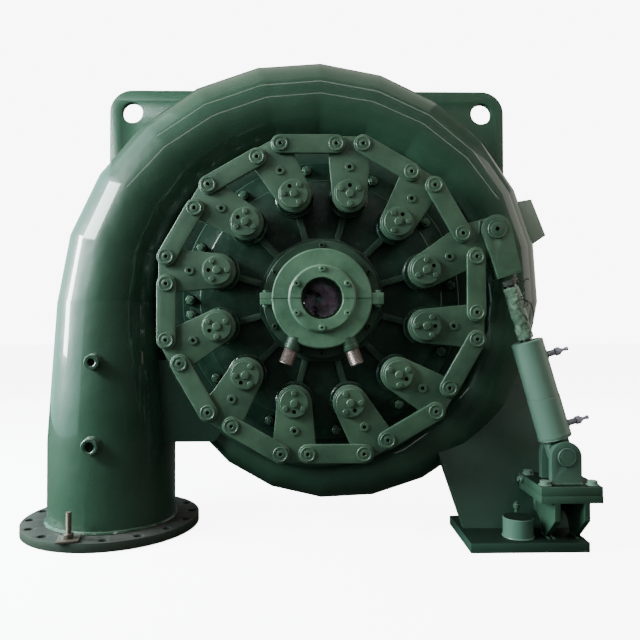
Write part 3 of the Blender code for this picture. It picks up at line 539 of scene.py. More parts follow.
# %% Paint and finish a piece
def paint(piece, material):
    """Give a piece one finish."""
    piece.data.materials.clear()
    piece.data.materials.append(material)
    return piece


def paint_all(material, *pieces):
    """Give several pieces one finish."""
    return [paint(piece, material) for piece in pieces]


def paint_faces(piece, material, test):
    """Give the faces that pass a test another finish."""
    piece.data.materials.append(material)
    for face in piece.data.polygons:
        if test(face):
            face.material_index = len(piece.data.materials) - 1
    return piece


def darken(piece, radius, low, high, at=(0, 0)):
    """Paint the walls and the floor of a hole between two heights near black, as painted shade."""
    at = Vector(at)
    return paint_faces(piece, HOLE_SHADE, lambda face: (face.center.to_2d() - at).length < radius
                       and low < face.center.z < high)


def finish(name, pieces, slot, *nodes, body="turbine", place=Matrix(), angle=32):
    """Join, place and smooth a piece, set it on its body and let it stand for its CAD nodes."""
    piece = put(joined(pieces), FACE @ place)
    piece.name = piece.data.name = name
    bpy.ops.object.shade_smooth_by_angle(angle=math.radians(angle))
    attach(piece, body)
    if nodes:
        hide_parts(*nodes)
    print(piece.name, sum(len(face.vertices) - 2 for face in piece.data.polygons), "triangles on", body)
    return piece


# %% [markdown]
# The casing is the largest piece: plates rolled into short tubes and welded round the ring, each
# a little smaller than the last, so that the water turns inwards evenly. It could be a swept
# curve, but the straight run between seams is what makes its highlights break. So it is one grid
# with a column for each seam: every point goes to its place on the rolled section, the end is
# closed by its plate, and Solidify gives the wall.

# %% Roll the spiral casing
RING_R = 0.53
TUBE_START_R, TUBE_SHRINK = 0.1755, 0.0324 / 90
TUBE_ATTACH = 0.065  # half the width of the gap that the section leaves at the ring
TUBE_WALL = 0.01
NOSE_ANGLE = 327
SEAMS = [*range(0, NOSE_ANGLE, 15), NOSE_ANGLE]  # degrees round from the inlet
SECTION_POINTS = 48
SEAM_HALF = 0.05  # share of a course taken by half the rounding of its seam


def tube_section(turned_by, grow=0.0):
    """Points of the casing's section so many degrees round from the inlet."""
    radius = TUBE_START_R - TUBE_SHRINK * turned_by
    reach = math.sqrt(max(radius**2 - TUBE_ATTACH**2, 0))
    edge = RING_R / math.cos(math.radians(SEAMS[1] / 2)) - RING_R
    start = math.acos((edge - reach) / radius)
    points = []
    for index in range(SECTION_POINTS):
        angle = start - 2 * start * index / (SECTION_POINTS - 1)
        along = RING_R + HAIR + reach + (radius + grow) * math.cos(angle)
        height = MIDDLE_Z + (max(radius, TUBE_ATTACH) + grow) * math.sin(angle)
        points.append(Vector((*(polar(1, 180 - turned_by) * along), height)))
    return points


def casing_rows():
    """Sections at the seams, with two more close beside each for its rounding."""
    whole = [tube_section(angle) for angle in SEAMS]
    rows = [whole[0]]
    for before, here, after in zip(whole, whole[1:], whole[2:]):
        rows += [[a.lerp(b, 1 - SEAM_HALF) for a, b in zip(before, here)], here,
                 [a.lerp(b, SEAM_HALF) for a, b in zip(here, after)]]
    return rows + [whole[-1]]


def close_end(sheet, end):
    """Put a plate on the rim that runs through these points."""
    pick(sheet, "verts", lambda v: any((v.co - p).length < 1e-5 for p in end))
    bpy.ops.mesh.edge_face_add()


def rolled(rows):
    """A sheet with one column of points for each row given."""
    across, points = len(rows) - 1, len(rows[0]) - 1
    sheet = primitive("grid", x_subdivisions=across, y_subdivisions=points, size=2)
    for vertex in sheet.data.vertices:
        column, place = round((vertex.co.x + 1) / 2 * across), round((vertex.co.y + 1) / 2 * points)
        vertex.co = rows[column][place]
    return sheet


rows = casing_rows()
spiral = rolled(rows)
close_end(spiral, rows[-1])
close_up()
modified(spiral, "SOLIDIFY", thickness=TUBE_WALL, offset=-1)
finish("spiral_shell", paint_all(CASING, spiral), "casing_green",
       *[f"spiral_casing_{i}" for i in range(1, 8)], angle=25)

# %% [markdown]
# The water comes up from the floor through a plain pipe that narrows to meet the spiral. It is
# turned round its own upright axis, and the side that would stand inside the ring is cut away.

# %% Turn the inlet pipe and its flange
PIPE_X, PIPE_R, PIPE_WALL = -0.694, 0.2032, 0.01
FLANGE_R, FLANGE_T, BOLT_CIRCLE_R = 0.2825, 0.028, 0.2575
FLANGE_TOP = FLOOR + FLANGE_T
TAPER_FOOT = -0.445  # height at which the pipe begins to narrow
PIPE_AXIS = move(PIPE_X, 0, MIDDLE_Z) @ UPRIGHT


def pipe_radius(height):
    """Outside radius of the inlet pipe at a height of the face."""
    return PIPE_R if height < TAPER_FOOT else TUBE_START_R + (PIPE_R - TUBE_START_R) * height / TAPER_FOOT


outside = [(pipe_radius(h), h) for h in (FLANGE_TOP + HAIR, -0.452, -0.438, -0.22, -HAIR)]
inside = [(radius - PIPE_WALL, height) for radius, height in reversed(outside)]
riser = put(turned(outside + inside, 128), PIPE_AXIS)
cut(riser, disc(RING_R + 0.001, -0.5, 0, sides=192))
finish("inlet_riser", paint_all(CASING, riser), "casing_green", "inlet_pipe", angle=25)

flange = turned(flat_ring(PIPE_R - PIPE_WALL, FLANGE_R, 0, FLANGE_T), 128)
cut(flange, discs(0.014, [polar(BOLT_CIRCLE_R, a) for a in around(16, 11.25)], 24))
paint(ease(flange, 0.0015, angle=50), RIM)
paint_faces(flange, GREY, lambda f: f.normal.z > 0.9)
finish("floor_flange", [flange], "casing_green", "inlet_flange",
       place=move(PIPE_X, FLOOR, MIDDLE_Z) @ UPRIGHT)

# %% [markdown]
# Fillet welds hold the pipe and the casing: one on the flange, and one in each corner where the
# casing leaves the ring. A clamp's stud still stands in one of the flange's holes, through a
# square washer.

# %% Weld the casing and leave the stud in its hole
pipe_foot = [polar(PIPE_R + 0.002, a) for a in around(160)]
beads = [bead([(PIPE_X + x, FLANGE_TOP + 0.002, MIDDLE_Z + z) for x, z in pipe_foot], 0.007, closed=True)]
for side in (1, -1):
    beads.append(bead([(*polar(RING_R + 0.005, 180 - angle), MIDDLE_Z + side * 0.0655)
                       for angle in range(3, NOSE_ANGLE, 2)], 0.006))
finish("casing_welds", paint_all(CASING, *beads), "casing_green")


def thread(radius, low, high, pitch=0.0025, deep=0.0007):
    """Profile points of a screw thread between two heights."""
    points, height, crest = [], low, True
    while height < high:
        points.append((radius if crest else radius - deep, height))
        height, crest = height + pitch / 2, not crest
    return points + [(radius - deep, high)]


def hexagon(radius, low, high):
    """A nut or bolt head: a six-sided blank whose corners are turned off."""
    return ease(disc(radius, low, high, sides=6), min(0.0015, (high - low) / 5), segments=1, angle=20)


clamp = paint_all(RUST, ease(block((-0.032, -0.032, 0), (0.032, 0.032, 0.007)), 0.0015),
                  hexagon(0.0155, 0.007, 0.021), solid(thread(0.0082, 0.0005, 0.083), 20))
in_hole = move(*polar(BOLT_CIRCLE_R, -101.25), 0, 12)
finish("flange_stud", clamp, "bright_steel",
       place=move(PIPE_X, FLANGE_TOP + HAIR, MIDDLE_Z) @ UPRIGHT @ in_hole)

# %% [markdown]
# The stay ring is two flat rings held apart by twelve stay vanes, which also steer the water.
# Each vane is a plate with a round nose and a thin tail, so it is the belt round two discs.

# %% Build the stay ring
HALF_CHANNEL, RING_T, RING_BORE = 0.06, 0.04, 0.4
halves = []
for side in (1, -1):
    low, high = sorted((MIDDLE_Z + side * HALF_CHANNEL, MIDDLE_Z + side * (HALF_CHANNEL + RING_T)))
    halves.append(ease(turned(flat_ring(RING_BORE, RING_R, low, high), 144), 0.002, angle=50))
vane = belt_plate([((0.041, 0), 0.009), ((-0.045, 0), 0.005)], MIDDLE_Z - 0.062, MIDDLE_Z + 0.062, 24)
stay = weld(*halves, copies(vane, [move(*polar(0.465, a), 0, a + 60) for a in TWELVE]))
finish("stay_ring_welded", paint_all(RING, stay), "casing_green", "stay_ring")

# %% [markdown]
# The head cover closes the water passage in front and carries everything that moves. It is an iron
# casting: a stepped disc with a hub on a twelve-sided foot, and a boss for each guide-vane stem tied
# to the hub by a rib. The disc is turned, the ribs and bosses are made once and copied round, and
# all are welded into one skin, so that the sand-cast surface runs across every joint.

# %% Cast the head cover
PIVOT_R, BOSS_Z = 0.3205, -0.066
COVER_Z, COVER_BOLTS_R = -0.125, 0.409
HUB_Z = -0.06


def on_stem(degrees, z=0.0):
    """The place of a stem, with x pointing away from the shaft."""
    return move(*polar(PIVOT_R, degrees), z, degrees)


head_cover = turned([
    (0.055, -0.205), (0.395, -0.205), (0.395, -0.1647), (0.437, -0.1647), (0.437, -0.129), (0.433, COVER_Z),
    (0.3815, COVER_Z), (0.38, -0.1243), (0.379, -0.123), (0.377, -0.1225), (0.179, -0.1225),
    (0.179, -0.0625), (0.1765, HUB_Z), (0.055, HUB_Z)], 144)
boss = solid([(0.058, -0.1285), (0.052, -0.1185), (0.05, -0.108), (0.05, -0.083), (0.056, -0.081),
              (0.059, -0.078), (0.059, -0.069), (0.056, BOSS_Z)], 40)
rib = ease(block((0.17, -0.01, -0.135), (0.286, 0.01, -0.095)), 0.002)
hub_foot = put(disc(0.19 / math.cos(math.pi / 12), -0.135, -0.092, sides=12), move(turn=15))
trim(ease(hub_foot, 0.002), (0, 0, -0.13), (0, 0, -1))
cut(hub_foot, disc(0.12, -0.2, 0))
weld(head_cover, hub_foot, copies(boss, [move(*polar(PIVOT_R, a)) for a in TWELVE]),
     copies(rib, [move(turn=a) for a in TWELVE]))


def on_hub(face):
    """Faces of the hub and the ribs' tops, which are paler."""
    out, z = face.center.to_2d().length, face.center.z
    return out < 0.181 and z > -0.091 or 0.19 < out < 0.27 and -0.1 < z < -0.094


paint_faces(paint(head_cover, CAST), HUB, on_hub)
finish("cast_head_cover", [head_cover], "cast_green", "head_cover", angle=40)

# %% [markdown]
# Nuts on studs hold the cover down, cap screws hold the seal to the hub, and a packing gland
# closes each stem's boss. These are small and many, so each is modelled once with few faces.

# %% Fit the cover's nuts, screws and glands
def capped(radius, height, hole, material, depth=0.004, sides=24):
    """A round screw head, whose hole in its middle is painted near black as shade."""
    head = solid([(radius, 0), (radius, height - 0.0012), (radius - 0.0012, height), (hole, height),
                  (hole, height - depth)], sides)
    return darken(paint(head, material), hole * 1.02, 0.0001, height - depth / 2)


washer = paint(solid([(0.0175, 0), (0.0175, 0.0025), (0.0165, 0.003)], 24), GLAND)
nut = paint(hexagon(0.015, 0.003, 0.018), NUTS)
stud = paint(solid([(0.0078, 0.017), (0.0078, 0.024), (0.0065, 0.0255)], 16), NUTS)
angles = [*[a - 8.5 for a in TWELVE], 180]
finish("cover_nuts", [scattered(joined([washer, nut, stud]), COVER_BOLTS_R, angles, COVER_Z)], "cast_green")
SIX = around(6, 30)
HUB_SCREWS_R, SEAL_SCREWS_R = 0.165, 0.087
screws = scattered(capped(0.0085, 0.007, 0.0042, HUB), HUB_SCREWS_R, SIX, HUB_Z)
finish("hub_screws", [screws], "cast_green")

gland = solid([
    (0.0545, 0), (0.056, 0.0015), (0.056, 0.0055), (0.054, 0.008), (0.05, 0.009), (0.049, 0.0105),
    (0.05, 0.012), (0.05, 0.0165), (0.048, 0.019), (0.044, 0.02), (0.04, 0.0205), (0.038, 0.025),
    (0.036, 0.026)], 48)
gland_nuts = copies(hexagon(0.0065, 0, 0.014), [move(*polar(0.0515, a)) for a in (75, 255)])
gland = paint(joined([gland, gland_nuts]), GLAND)
finish("stem_glands", [copies(gland, [on_stem(a, BOSS_Z) for a in TWELVE])], "cast_green")

# %% [markdown]
# The shaft seal sits on the hub: a housing split across its middle so that it can come off round
# the shaft, with an ear for a bolt at each side and a smooth cover plate in front. The split is a
# thin cut, deep enough to draw a line.

# %% Make the shaft seal
DRAIN_PLACES = {"left": (-124, -111), "right": (-57, -69)}  # degrees on the rim, and heading
DRAIN_OUT, DRAIN_Z = 0.138, -0.034


def split_line(piece, front):
    """Cut the thin line where the halves of a split piece meet."""
    return cut(piece, block((-0.2, -0.0011, front - 0.005), (0.2, 0.0011, front + 0.01)))


def drain_frame(side):
    """Frame whose z runs out along a drain pipe."""
    rim, heading = DRAIN_PLACES[side]
    return move(*polar(DRAIN_OUT, rim), DRAIN_Z, heading) @ spin(90, "Y")


housing = turned([(0.062, -0.0597), (0.147, -0.0597), (0.15, -0.0567), (0.15, -0.016),
                  (0.146, -0.012), (0.062, -0.012)], 96)
weld(housing, *[ease(block((x - 0.025, -0.018, -0.046), (x + 0.025, 0.018, -0.016)), 0.002)
                for x in (-0.16, 0.16)])
split_line(housing, -0.012)
collar = solid([(0.0235, 0), (0.0235, 0.024), (0.025, 0.0255), (0.025, 0.038), (0.0235, 0.0397)], 40)
collars = copies(collar, [drain_frame(side) for side in DRAIN_PLACES])
bolts = copies(hexagon(0.0115, 0.0175, 0.0255),
               [move(x, 0, -0.031) @ spin(turn, "X") for x in (-0.168, 0.168) for turn in (-90, 90)])
finish("split_seal_housing", [paint(housing, SEAL), paint(collars, HUB), paint(bolts, SEAL)], "green_paint",
       "seal_housing")

seal_cover = turned([(0.062, -0.0117), (0.101, -0.0117), (0.101, -0.0047), (0.0995, -0.0037),
                     (0.0965, -0.0007), (0.095, HAIR), (0.0635, HAIR), (0.062, -0.0012)], 128)
screws = scattered(capped(0.0095, 0.0065, 0.0033, SEAL, depth=0.003), SEAL_SCREWS_R, SIX, HAIR)
finish("seal_front_cover", [paint(split_line(seal_cover, HAIR), SEAL), screws], "green_paint", "seal_cover")

for side in DRAIN_PLACES:
    wall = thread(0.022, 0.0403, 0.086, 0.0046, 0.0016) + [(0.019, 0.086), (0.019, 0.0403)]
    finish(f"drain_stub_{side}", paint_all(COPPER, turned(wall, 40)), "copper",
           f"drain_pipe_{side}", place=drain_frame(side))

# %% [markdown]
# Each guide vane has a stem, and each stem a lever. The lever is a three-cornered plate: the belt
# round its stem and the two pins of its links. A thick cap clamps it to the stem by one bolt and
# three screws, and a shear pin beside it breaks if a stone jams the vane. All twelve are alike but
# the first, whose plate runs on to the servo's fork.

# %% Make one lever
ARM, SPREAD = 0.155, 30
LEVER_BACK, LEVER_FRONT = -0.033, -0.013
PINS = (Vector((ARM, 0)), polar(ARM, SPREAD))
DRIVE_ARM = 0.242
DRIVE_TIP = polar(DRIVE_ARM, SPREAD / 2)


def pin_washer():
    """A link pin's end: a raised ring round a flat with a centre hole."""
    washer = solid([
        (0.0225, 0.0005), (0.0225, 0.0042), (0.0212, 0.0056), (0.0185, 0.0056), (0.0172, 0.0045),
        (0.0124, 0.0043), (0.0112, 0.005), (0.0058, 0.005), (0.0052, 0.0044), (0.0052, -0.009)], 36)
    # The centre hole's wall and floor are painted near black: painted shade.
    return darken(paint(washer, LEVER), 0.0053, -0.0095, 0.0044)


def lever_cap():
    """The cap with its bolt, three screws and jacking hole."""
    cap = solid([
        (0.047, LEVER_FRONT - 0.001), (0.047, LEVER_FRONT + 0.0025), (0.0455, LEVER_FRONT + 0.004),
        (0.042, LEVER_FRONT + 0.0042), (0.042, 0.0025), (0.0405, 0.004)], 72)
    hole = polar(0.025, SPREAD / 2)
    cut(cap, disc(0.006, -0.008, 0.02, hole, 20))
    # The jacking hole is painted near black: painted shade.
    darken(paint(cap, LEVER), 0.0061, -1, 0.0039, hole)
    bolt = solid([(0.012, 0.003), (0.012, 0.009), (0.0105, 0.0106), (0.007, 0.011)], 32)
    screw = solid([(0.0082, 0), (0.0082, 0.0042), (0.007, 0.0056), (0.0045, 0.0058)], 20)
    screws = copies(screw, [move(*polar(0.03, SPREAD / 2 + a), 0.0035) for a in (60, 180, -60)])
    return [cap, *paint_all(LEVER, bolt, screws)]


def guide_vane():
    """The stem and the vane on its far end."""
    nose = [((0, 0.051), 0.014), ((0, 0.012), 0.017)]
    tail = [((0, 0.012), 0.017), ((0, -0.082), 0.003)]
    halves = [belt_plate(half, MIDDLE_Z - 0.055, MIDDLE_Z + 0.055, 32) for half in (nose, tail)]
    stem = solid([(0.025, -0.262), (0.025, -0.0335)], 32)
    return paint(weld(stem, weld(*halves)), CAST)


def lever(*more_circles):
    """The parts of one lever about its stem, which is on z."""
    circles = [((0, 0), 0.052), *[(pin, 0.026) for pin in PINS], *more_circles]
    plate = ease(belt_plate(circles, LEVER_BACK, LEVER_FRONT, 64), 0.0026, segments=3)
    shear_pin = capped(0.0135, 0.005, 0.0058, LEVER, sides=28)
    put(shear_pin, move(*polar(0.083, SPREAD / 2), LEVER_FRONT))
    parts = [paint(plate, LEVER), *lever_cap(), shear_pin, guide_vane()]
    parts.append(copies(pin_washer(), [move(*pin) for pin in PINS]))
    # Near-black pins fill the links' holes: painted shade.
    return parts + paint_all(HOLE_SHADE, *[disc(0.0104, LEVER_FRONT - 0.002, -0.0085, pin, 24) for pin in PINS])


print("lever pins at", [tuple(round(v, 4) for v in pin) for pin in PINS])

# %% [markdown]
# The drive lever also carries the servo's pin. The pin goes through both plates of the fork, with
# a broad washer at each end, and an old weld stands on the lever beside it.

# %% Set the levers round the cover
SERVO_Z = -0.023
FORK_HALF_T = 0.029
plain = joined(lever())
for index, degrees in enumerate(TWELVE[1:], 2):
    finish(f"guide_lever_{index:02d}", [copied(plain)], "green_paint", f"lever_{index:02d}",
           body=f"lever_{index:02d}", place=on_stem(degrees))
drop(plain)

front = SERVO_Z + FORK_HALF_T + 0.0005
rear = SERVO_Z - FORK_HALF_T - 0.0005
face_plate = solid([
    (0.0285, front), (0.0285, front + 0.0035), (0.027, front + 0.005), (0.0205, front + 0.005),
    (0.0195, front + 0.0058), (0.019, front + 0.006), (0.0068, front + 0.006), (0.0062, front + 0.0055),
    (0.0062, front - 0.004)], 64)
# The face plate's hole and the drive pin seen through it are painted near black: painted shade.
darken(paint(face_plate, LEVER), 0.0064, front - 0.005, front + 0.0053)
drive_pin = paint(solid([(0.014, rear - 0.002), (0.014, front - 0.004)], 32), HOLE_SHADE)
rear_washer = solid([(0.032, rear - 0.005), (0.034, rear - 0.0035), (0.034, rear)], 48)
into_lever = move(z=LEVER_FRONT) @ on_stem(TWELVE[0]).inverted()
old_weld = [into_lever @ spot for spot in line_points((0.4705, 0.193, 0), (0.4745, 0.232, 0), 0.003)]
parts = lever((DRIVE_TIP, 0.042))
parts += [put(piece, move(*DRIVE_TIP)) for piece in (face_plate, drive_pin, paint(rear_washer, LEVER))]
finish("guide_lever_01", [*parts, paint(bead(old_weld, 0.0035), LEVER)], "green_paint", "drive_lever",
       body="drive_lever", place=on_stem(TWELVE[0]))

# %% [markdown]
# Twelve flat links close the ring of levers. A link is the belt round its two pins, with well
# rounded edges that the light runs along.

# %% Hang the links
LINK_R = 0.0285
LINK_PITCH = 2 * PIVOT_R * math.sin(math.pi / 12)
link = belt_plate([((0, 0), LINK_R), ((LINK_PITCH, 0), LINK_R)], -0.0125, 0, 64)
ease(link, 0.0034, segments=4)
paint(cut(link, discs(0.0108, [(0, 0), (LINK_PITCH, 0)], 24)), LEVER)
for index, degrees in enumerate(TWELVE, 1):
    finish(f"ring_link_{index:02d}", [copied(link)], "green_paint", f"link_{index:02d}",
           body=f"link_{index:02d}", place=on_stem(degrees) @ move(*PINS[1], 0, 105))
drop(link)

# %% [markdown]
# Behind, the rear cover ends in the flange for the draft tube, and one big square plate with
# rounded corners carries the casing. Its corners are beveled from a block, and the lifting eyes
# and the hole round the barrel are cut through.

# %% Make the rear
PLATE_FRONT, PLATE_BACK = -0.4687, -0.4937
barrel = turned([
    (0.27, -0.325), (0.395, -0.325), (0.395, -0.3653), (0.437, -0.3653), (0.437, -0.3923), (0.434, -0.3953),
    (0.312, -0.3953), (0.302, -0.3993), (0.3, -0.406), (0.3, -0.494), (0.35, -0.494), (0.35, -0.5207),
    (0.348, -0.5227), (0.273, -0.5227), (0.27, -0.5197)], 128)
DRAFT_BOLTS_R = 0.325
draft_bolts = [disc(0.0115, -0.6, -0.45, polar(DRAFT_BOLTS_R, a), 20) for a in around(16, 15)]
cut(barrel, joined(draft_bolts))
rear_nuts = scattered(hexagon(0.0168, 0, 0.016), COVER_BOLTS_R, TWELVE, -0.4113)
finish("draft_cover", paint_all(CASING, barrel, rear_nuts), "casing_green", "rear_cover")

plate = block((-0.776, -0.503, PLATE_BACK), (0.691, 0.799, PLATE_FRONT))
pick(plate, "edges", upright)
bpy.ops.mesh.bevel(offset=0.083, segments=14)
close_up()
cut(plate, joined([discs(0.038, [(-0.693, 0.716), (0.608, 0.716)], 48), disc(0.301, -0.6, -0.4, sides=96)]))
finish("mounting_plate", paint_all(PLATE, ease(plate, 0.0025, angle=50)), "green_paint", "back_plate")

# %% [markdown]
# On the right the casing stands on a leaning leg. The leg is cut where the casing passes through
# it, so the casing's own sections are rolled once more as a solid that is a hair larger.

# %% Make the foot
def casing_solid():
    """The space that the casing and its ring fill."""
    grown = []
    for angle in SEAMS:
        row = tube_section(angle, 0.0004)
        inner = [Vector((*polar(RING_R - 0.02, 180 - angle), p.z)) for p in (row[-1], row[0])]
        grown.append([*row, *inner, row[0]])
    space = rolled(grown)
    open_up(space, "VERT")
    bpy.ops.mesh.remove_doubles(threshold=0.00001)
    for end in (grown[0], grown[-1]):
        close_end(space, end)
    close_up()
    return space


BASE_TOP = FLOOR + 0.0295
ON_BASE = BASE_TOP + HAIR
base = ease(block((0.425, FLOOR, -0.229), (0.771, BASE_TOP, 0.045)), 0.002)
# The base's top faces are painted darker: painted shade.
paint_faces(paint(base, FOOT), TOP_SHADE, lambda f: f.normal.y > 0.9)
finish("foot_base", [base], "green_paint", "base_plate")

LEAN = math.radians(22)
corners = [(0.4532, -0.05), (0.7705, -0.05), (0.7705, 0.14), (0.68, 0.52), (0.366, 0.26)]
leg = plate_of([(x, height / math.cos(LEAN)) for x, height in corners], -0.022, 0, 0.001)
put(leg, move(0, ON_BASE, -0.09) @ Matrix.Rotation(-LEAN, 4, "X"))
trim(leg, (0, ON_BASE, 0), (0, -1, 0))
finish("leaning_leg", paint_all(FOOT, cut(leg, casing_solid())), "green_paint", "leg_plate")

# %% [markdown]
# Beside the leg stands a round steel pad with a stud and its nut behind it, and the casing has a
# lifting lug welded to its right.

# %% Add the pad and the lug
PAD_R, PAD_H = 0.0445, 0.057
pad = solid([(PAD_R - 0.0015, 0), (PAD_R, 0.0015), (PAD_R, PAD_H - 0.0015), (PAD_R - 0.0015, PAD_H)], 64)
# The pad's top face is painted darker: painted shade.
paint_faces(paint(pad, PAD), TOP_SHADE, lambda f: f.normal.z > 0.9)
pad_bead = paint(bead(loop(PAD_R, 0.001), 0.003, True), PAD)
stud = joined([solid([(0.006, 0), (0.006, 0.086)], 16), hexagon(0.0105, 0.066, 0.079)])
put(paint(stud, NUTS), move(0.014, 0.056, 0))
finish("round_pad", [pad, pad_bead, stud], "green_paint", "levelling_pad",
       place=move(0.583, ON_BASE, -0.018) @ UPRIGHT)

lug = plate_of([(0.655, 0.339), (0.714, 0.349), (0.763, 0.224), (0.708, 0.188)], -0.279, -0.251)
lug = ease(cut(lug, casing_solid()), 0.0012, angle=50)
finish("side_lifting_lug", paint_all(LUG, lug), "green_paint", "side_lug")

# %% [markdown]
# A flat web fills the corner where the casing's thin end comes back to the inlet pipe. It lies
# against the front of the stay ring, and a weld runs down each side of it.

# %% Fill the corner at the casing's end
WEB_FRONT = -0.18
web = plate_of([(-0.6, -0.453), (-0.3455, -0.453), (-0.31, -0.41), (-0.31, -0.19), (-0.6, -0.19)],
               WEB_FRONT - 0.012, WEB_FRONT, 0.0005)
pipe_space = solid([(pipe_radius(h) + HAIR, h) for h in (-0.6, -0.452, -0.438, -0.22, -0.05)], 128)
cut(web, disc(RING_R + HAIR, -0.5, 0, sides=192), put(pipe_space, PIPE_AXIS))
down_pipe = [(PIPE_X + math.sqrt(pipe_radius(h)**2 - 0.085**2) + 0.001, h, WEB_FRONT)
             for h in (-0.449 + 0.007 * i for i in range(37))]
round_ring = [(*polar(RING_R + 0.001, a), WEB_FRONT) for a in range(203, 233)]
finish("nose_web_plate", paint_all(RING, web, bead(down_pipe, 0.0035), bead(round_ring, 0.003)),
       "green_paint", "nose_web")

# %% [markdown]
# Two threaded sockets for gauges or drains are welded to the inlet pipe's front.

# %% Weld on the sockets
for name, height, radius, hole in (("upper", -0.19, 0.023, 0.012), ("lower", -0.442, 0.0255, 0.016)):
    back = pipe_radius(height - radius) + HAIR
    tip = back + 0.03
    outside = [(hole, back), (radius, back), (radius, tip - 0.002), (radius - 0.002, tip),
               (hole + 0.0015, tip)]
    inside = thread(hole, tip - 0.02, tip - 0.0015)[::-1] + [(hole, tip - 0.021)]
    foot = [(x, y, math.sqrt(pipe_radius(height)**2 - x**2) + 0.001) for x, y, _ in loop(radius, 0)]
    socket = [turned(outside + inside, 48), bead(foot, 0.004, True)]
    finish(f"threaded_socket_{name}", paint_all(CASING, *socket), "green_paint", f"{name}_socket",
           place=move(PIPE_X, height, MIDDLE_Z))

# %% [markdown]
# The servo stands on a bracket: a table on two gussets, a plate bolted to it, and two ears with
# the pin. The gussets are cut away in a curve at the back, where the leg is.

# %% Make the servo's bracket
TRUNNION = Vector((0.712, -0.467))
BRACKET_X = 0.714
GUSSET_SIDES = (-0.051, -0.035, 0.035, 0.051)  # from the bracket's middle
LEFT, RIGHT = BRACKET_X - 0.0895, BRACKET_X + 0.0895
BACK, FRONT = -0.13, 0.06
UPPER_TOP, UPPER_BOTTOM = -0.545, -0.571
TABLE_TOP, TABLE_BOTTOM = UPPER_BOTTOM - HAIR, UPPER_BOTTOM - 0.0213
EAR_GAP, EAR_T = 0.026, 0.025  # from the servo's plane to the ear

table = block((LEFT, TABLE_BOTTOM, BACK), (RIGHT, TABLE_TOP, FRONT))
gusset = plate_of([
    (-0.06, TABLE_BOTTOM + 0.003), (-0.06, TABLE_BOTTOM - 0.05), (0.013, ON_BASE), (0.047, ON_BASE),
    (0.113, ON_BASE + 0.061), (0.129, TABLE_BOTTOM + 0.003)], -0.008, 0.008, 0.0005)
cut(gusset, disc(0.048, -0.1, 0.1, (0.0985, ON_BASE + 0.0055), 48))
gussets = copies(gusset, [move(BRACKET_X + x) @ spin(90, "Y") for x in (-0.043, 0.043)])
parts = [ease(weld(table, gussets), 0.0015, angle=50)]
for side in GUSSET_SIDES:
    x = BRACKET_X + side
    parts.append(seam((x, TABLE_BOTTOM, 0.055), (x, TABLE_BOTTOM, -0.1)))
    parts.append(seam((x, ON_BASE, 0.016), (x, ON_BASE, -0.043)))
x = BRACKET_X + GUSSET_SIDES[0]
parts.append(seam((x, TABLE_BOTTOM - 0.045, -0.084), (x, TABLE_BOTTOM, -0.096), 0.006, 0.003))
finish("bracket_stand", paint_all(BRACKET, *parts), "green_paint", "bracket_table")

upper = block((LEFT, UPPER_BOTTOM, BACK), (RIGHT, UPPER_TOP, FRONT))
feet = [((0.668, UPPER_TOP - 0.002), 0.001), ((0.756, UPPER_TOP - 0.002), 0.001)]
ears = [belt_plate([(TRUNNION, 0.045), *feet], low, low + EAR_T, 64)
        for low in (SERVO_Z + EAR_GAP, SERVO_Z - EAR_GAP - EAR_T)]
cut(weld(upper, *ears), disc(0.0143, -0.2, 0.2, TRUNNION, 32))
paint(ease(upper, 0.0018, angle=50), BRACKET)
paint_faces(upper, EAR, lambda f: f.center.y > UPPER_TOP + 0.002)
# The plate's top between the ears is painted darker: painted shade.
paint_faces(upper, TOP_SHADE, lambda f: f.center.y <= UPPER_TOP + 0.002 and f.normal.y > 0.9)
ear_welds = [seam((0.667, UPPER_TOP + 0.0005, SERVO_Z + out), (0.757, UPPER_TOP + 0.0005, SERVO_Z + out))
             for out in (0.0515, -0.0515)]
bolt = joined([hexagon(0.015, 0, 0.012), solid([(0.0185, -0.001), (0.0185, 0.0012), (0.0175, 0.0018)], 24)])
bolts = copies(bolt, [move(x, UPPER_TOP + 0.001, z) @ UPRIGHT
                      for x in (LEFT + 0.02, RIGHT - 0.02) for z in (-0.105, 0.035)])
jack = joined([hexagon(0.0115, 0, 0.01), solid([(0.007, 0.0095), (0.007, 0.015)], 16)])
put(jack, move(LEFT - HAIR, -0.558, -0.096) @ spin(-90, "Y"))
finish("cylinder_bracket", [upper, *paint_all(BRACKET, *ear_welds), *paint_all(SERVO, bolts, jack)],
       "green_paint", "trunnion_bracket")

front = SERVO_Z + EAR_GAP + EAR_T + HAIR
pin = solid([
    (0.014, SERVO_Z - 0.057), (0.014, front), (0.027, front), (0.027, front + 0.0035),
    (0.0255, front + 0.005), (0.0225, front + 0.005), (0.022, front + 0.0042), (0.0205, front + 0.0042),
    (0.02, front + 0.005)], 48)
finish("pivot_pin", paint_all(EAR, pin), "green_paint", "trunnion_pin", place=move(*TRUNNION))

# %% [markdown]
# The cylinder hangs on that pin by its eye. It is a tube with a collar at its foot and a fine seam
# a third of the way up, above which it is a little thinner. Its two hose connections stick out to
# the right, with nothing on them.

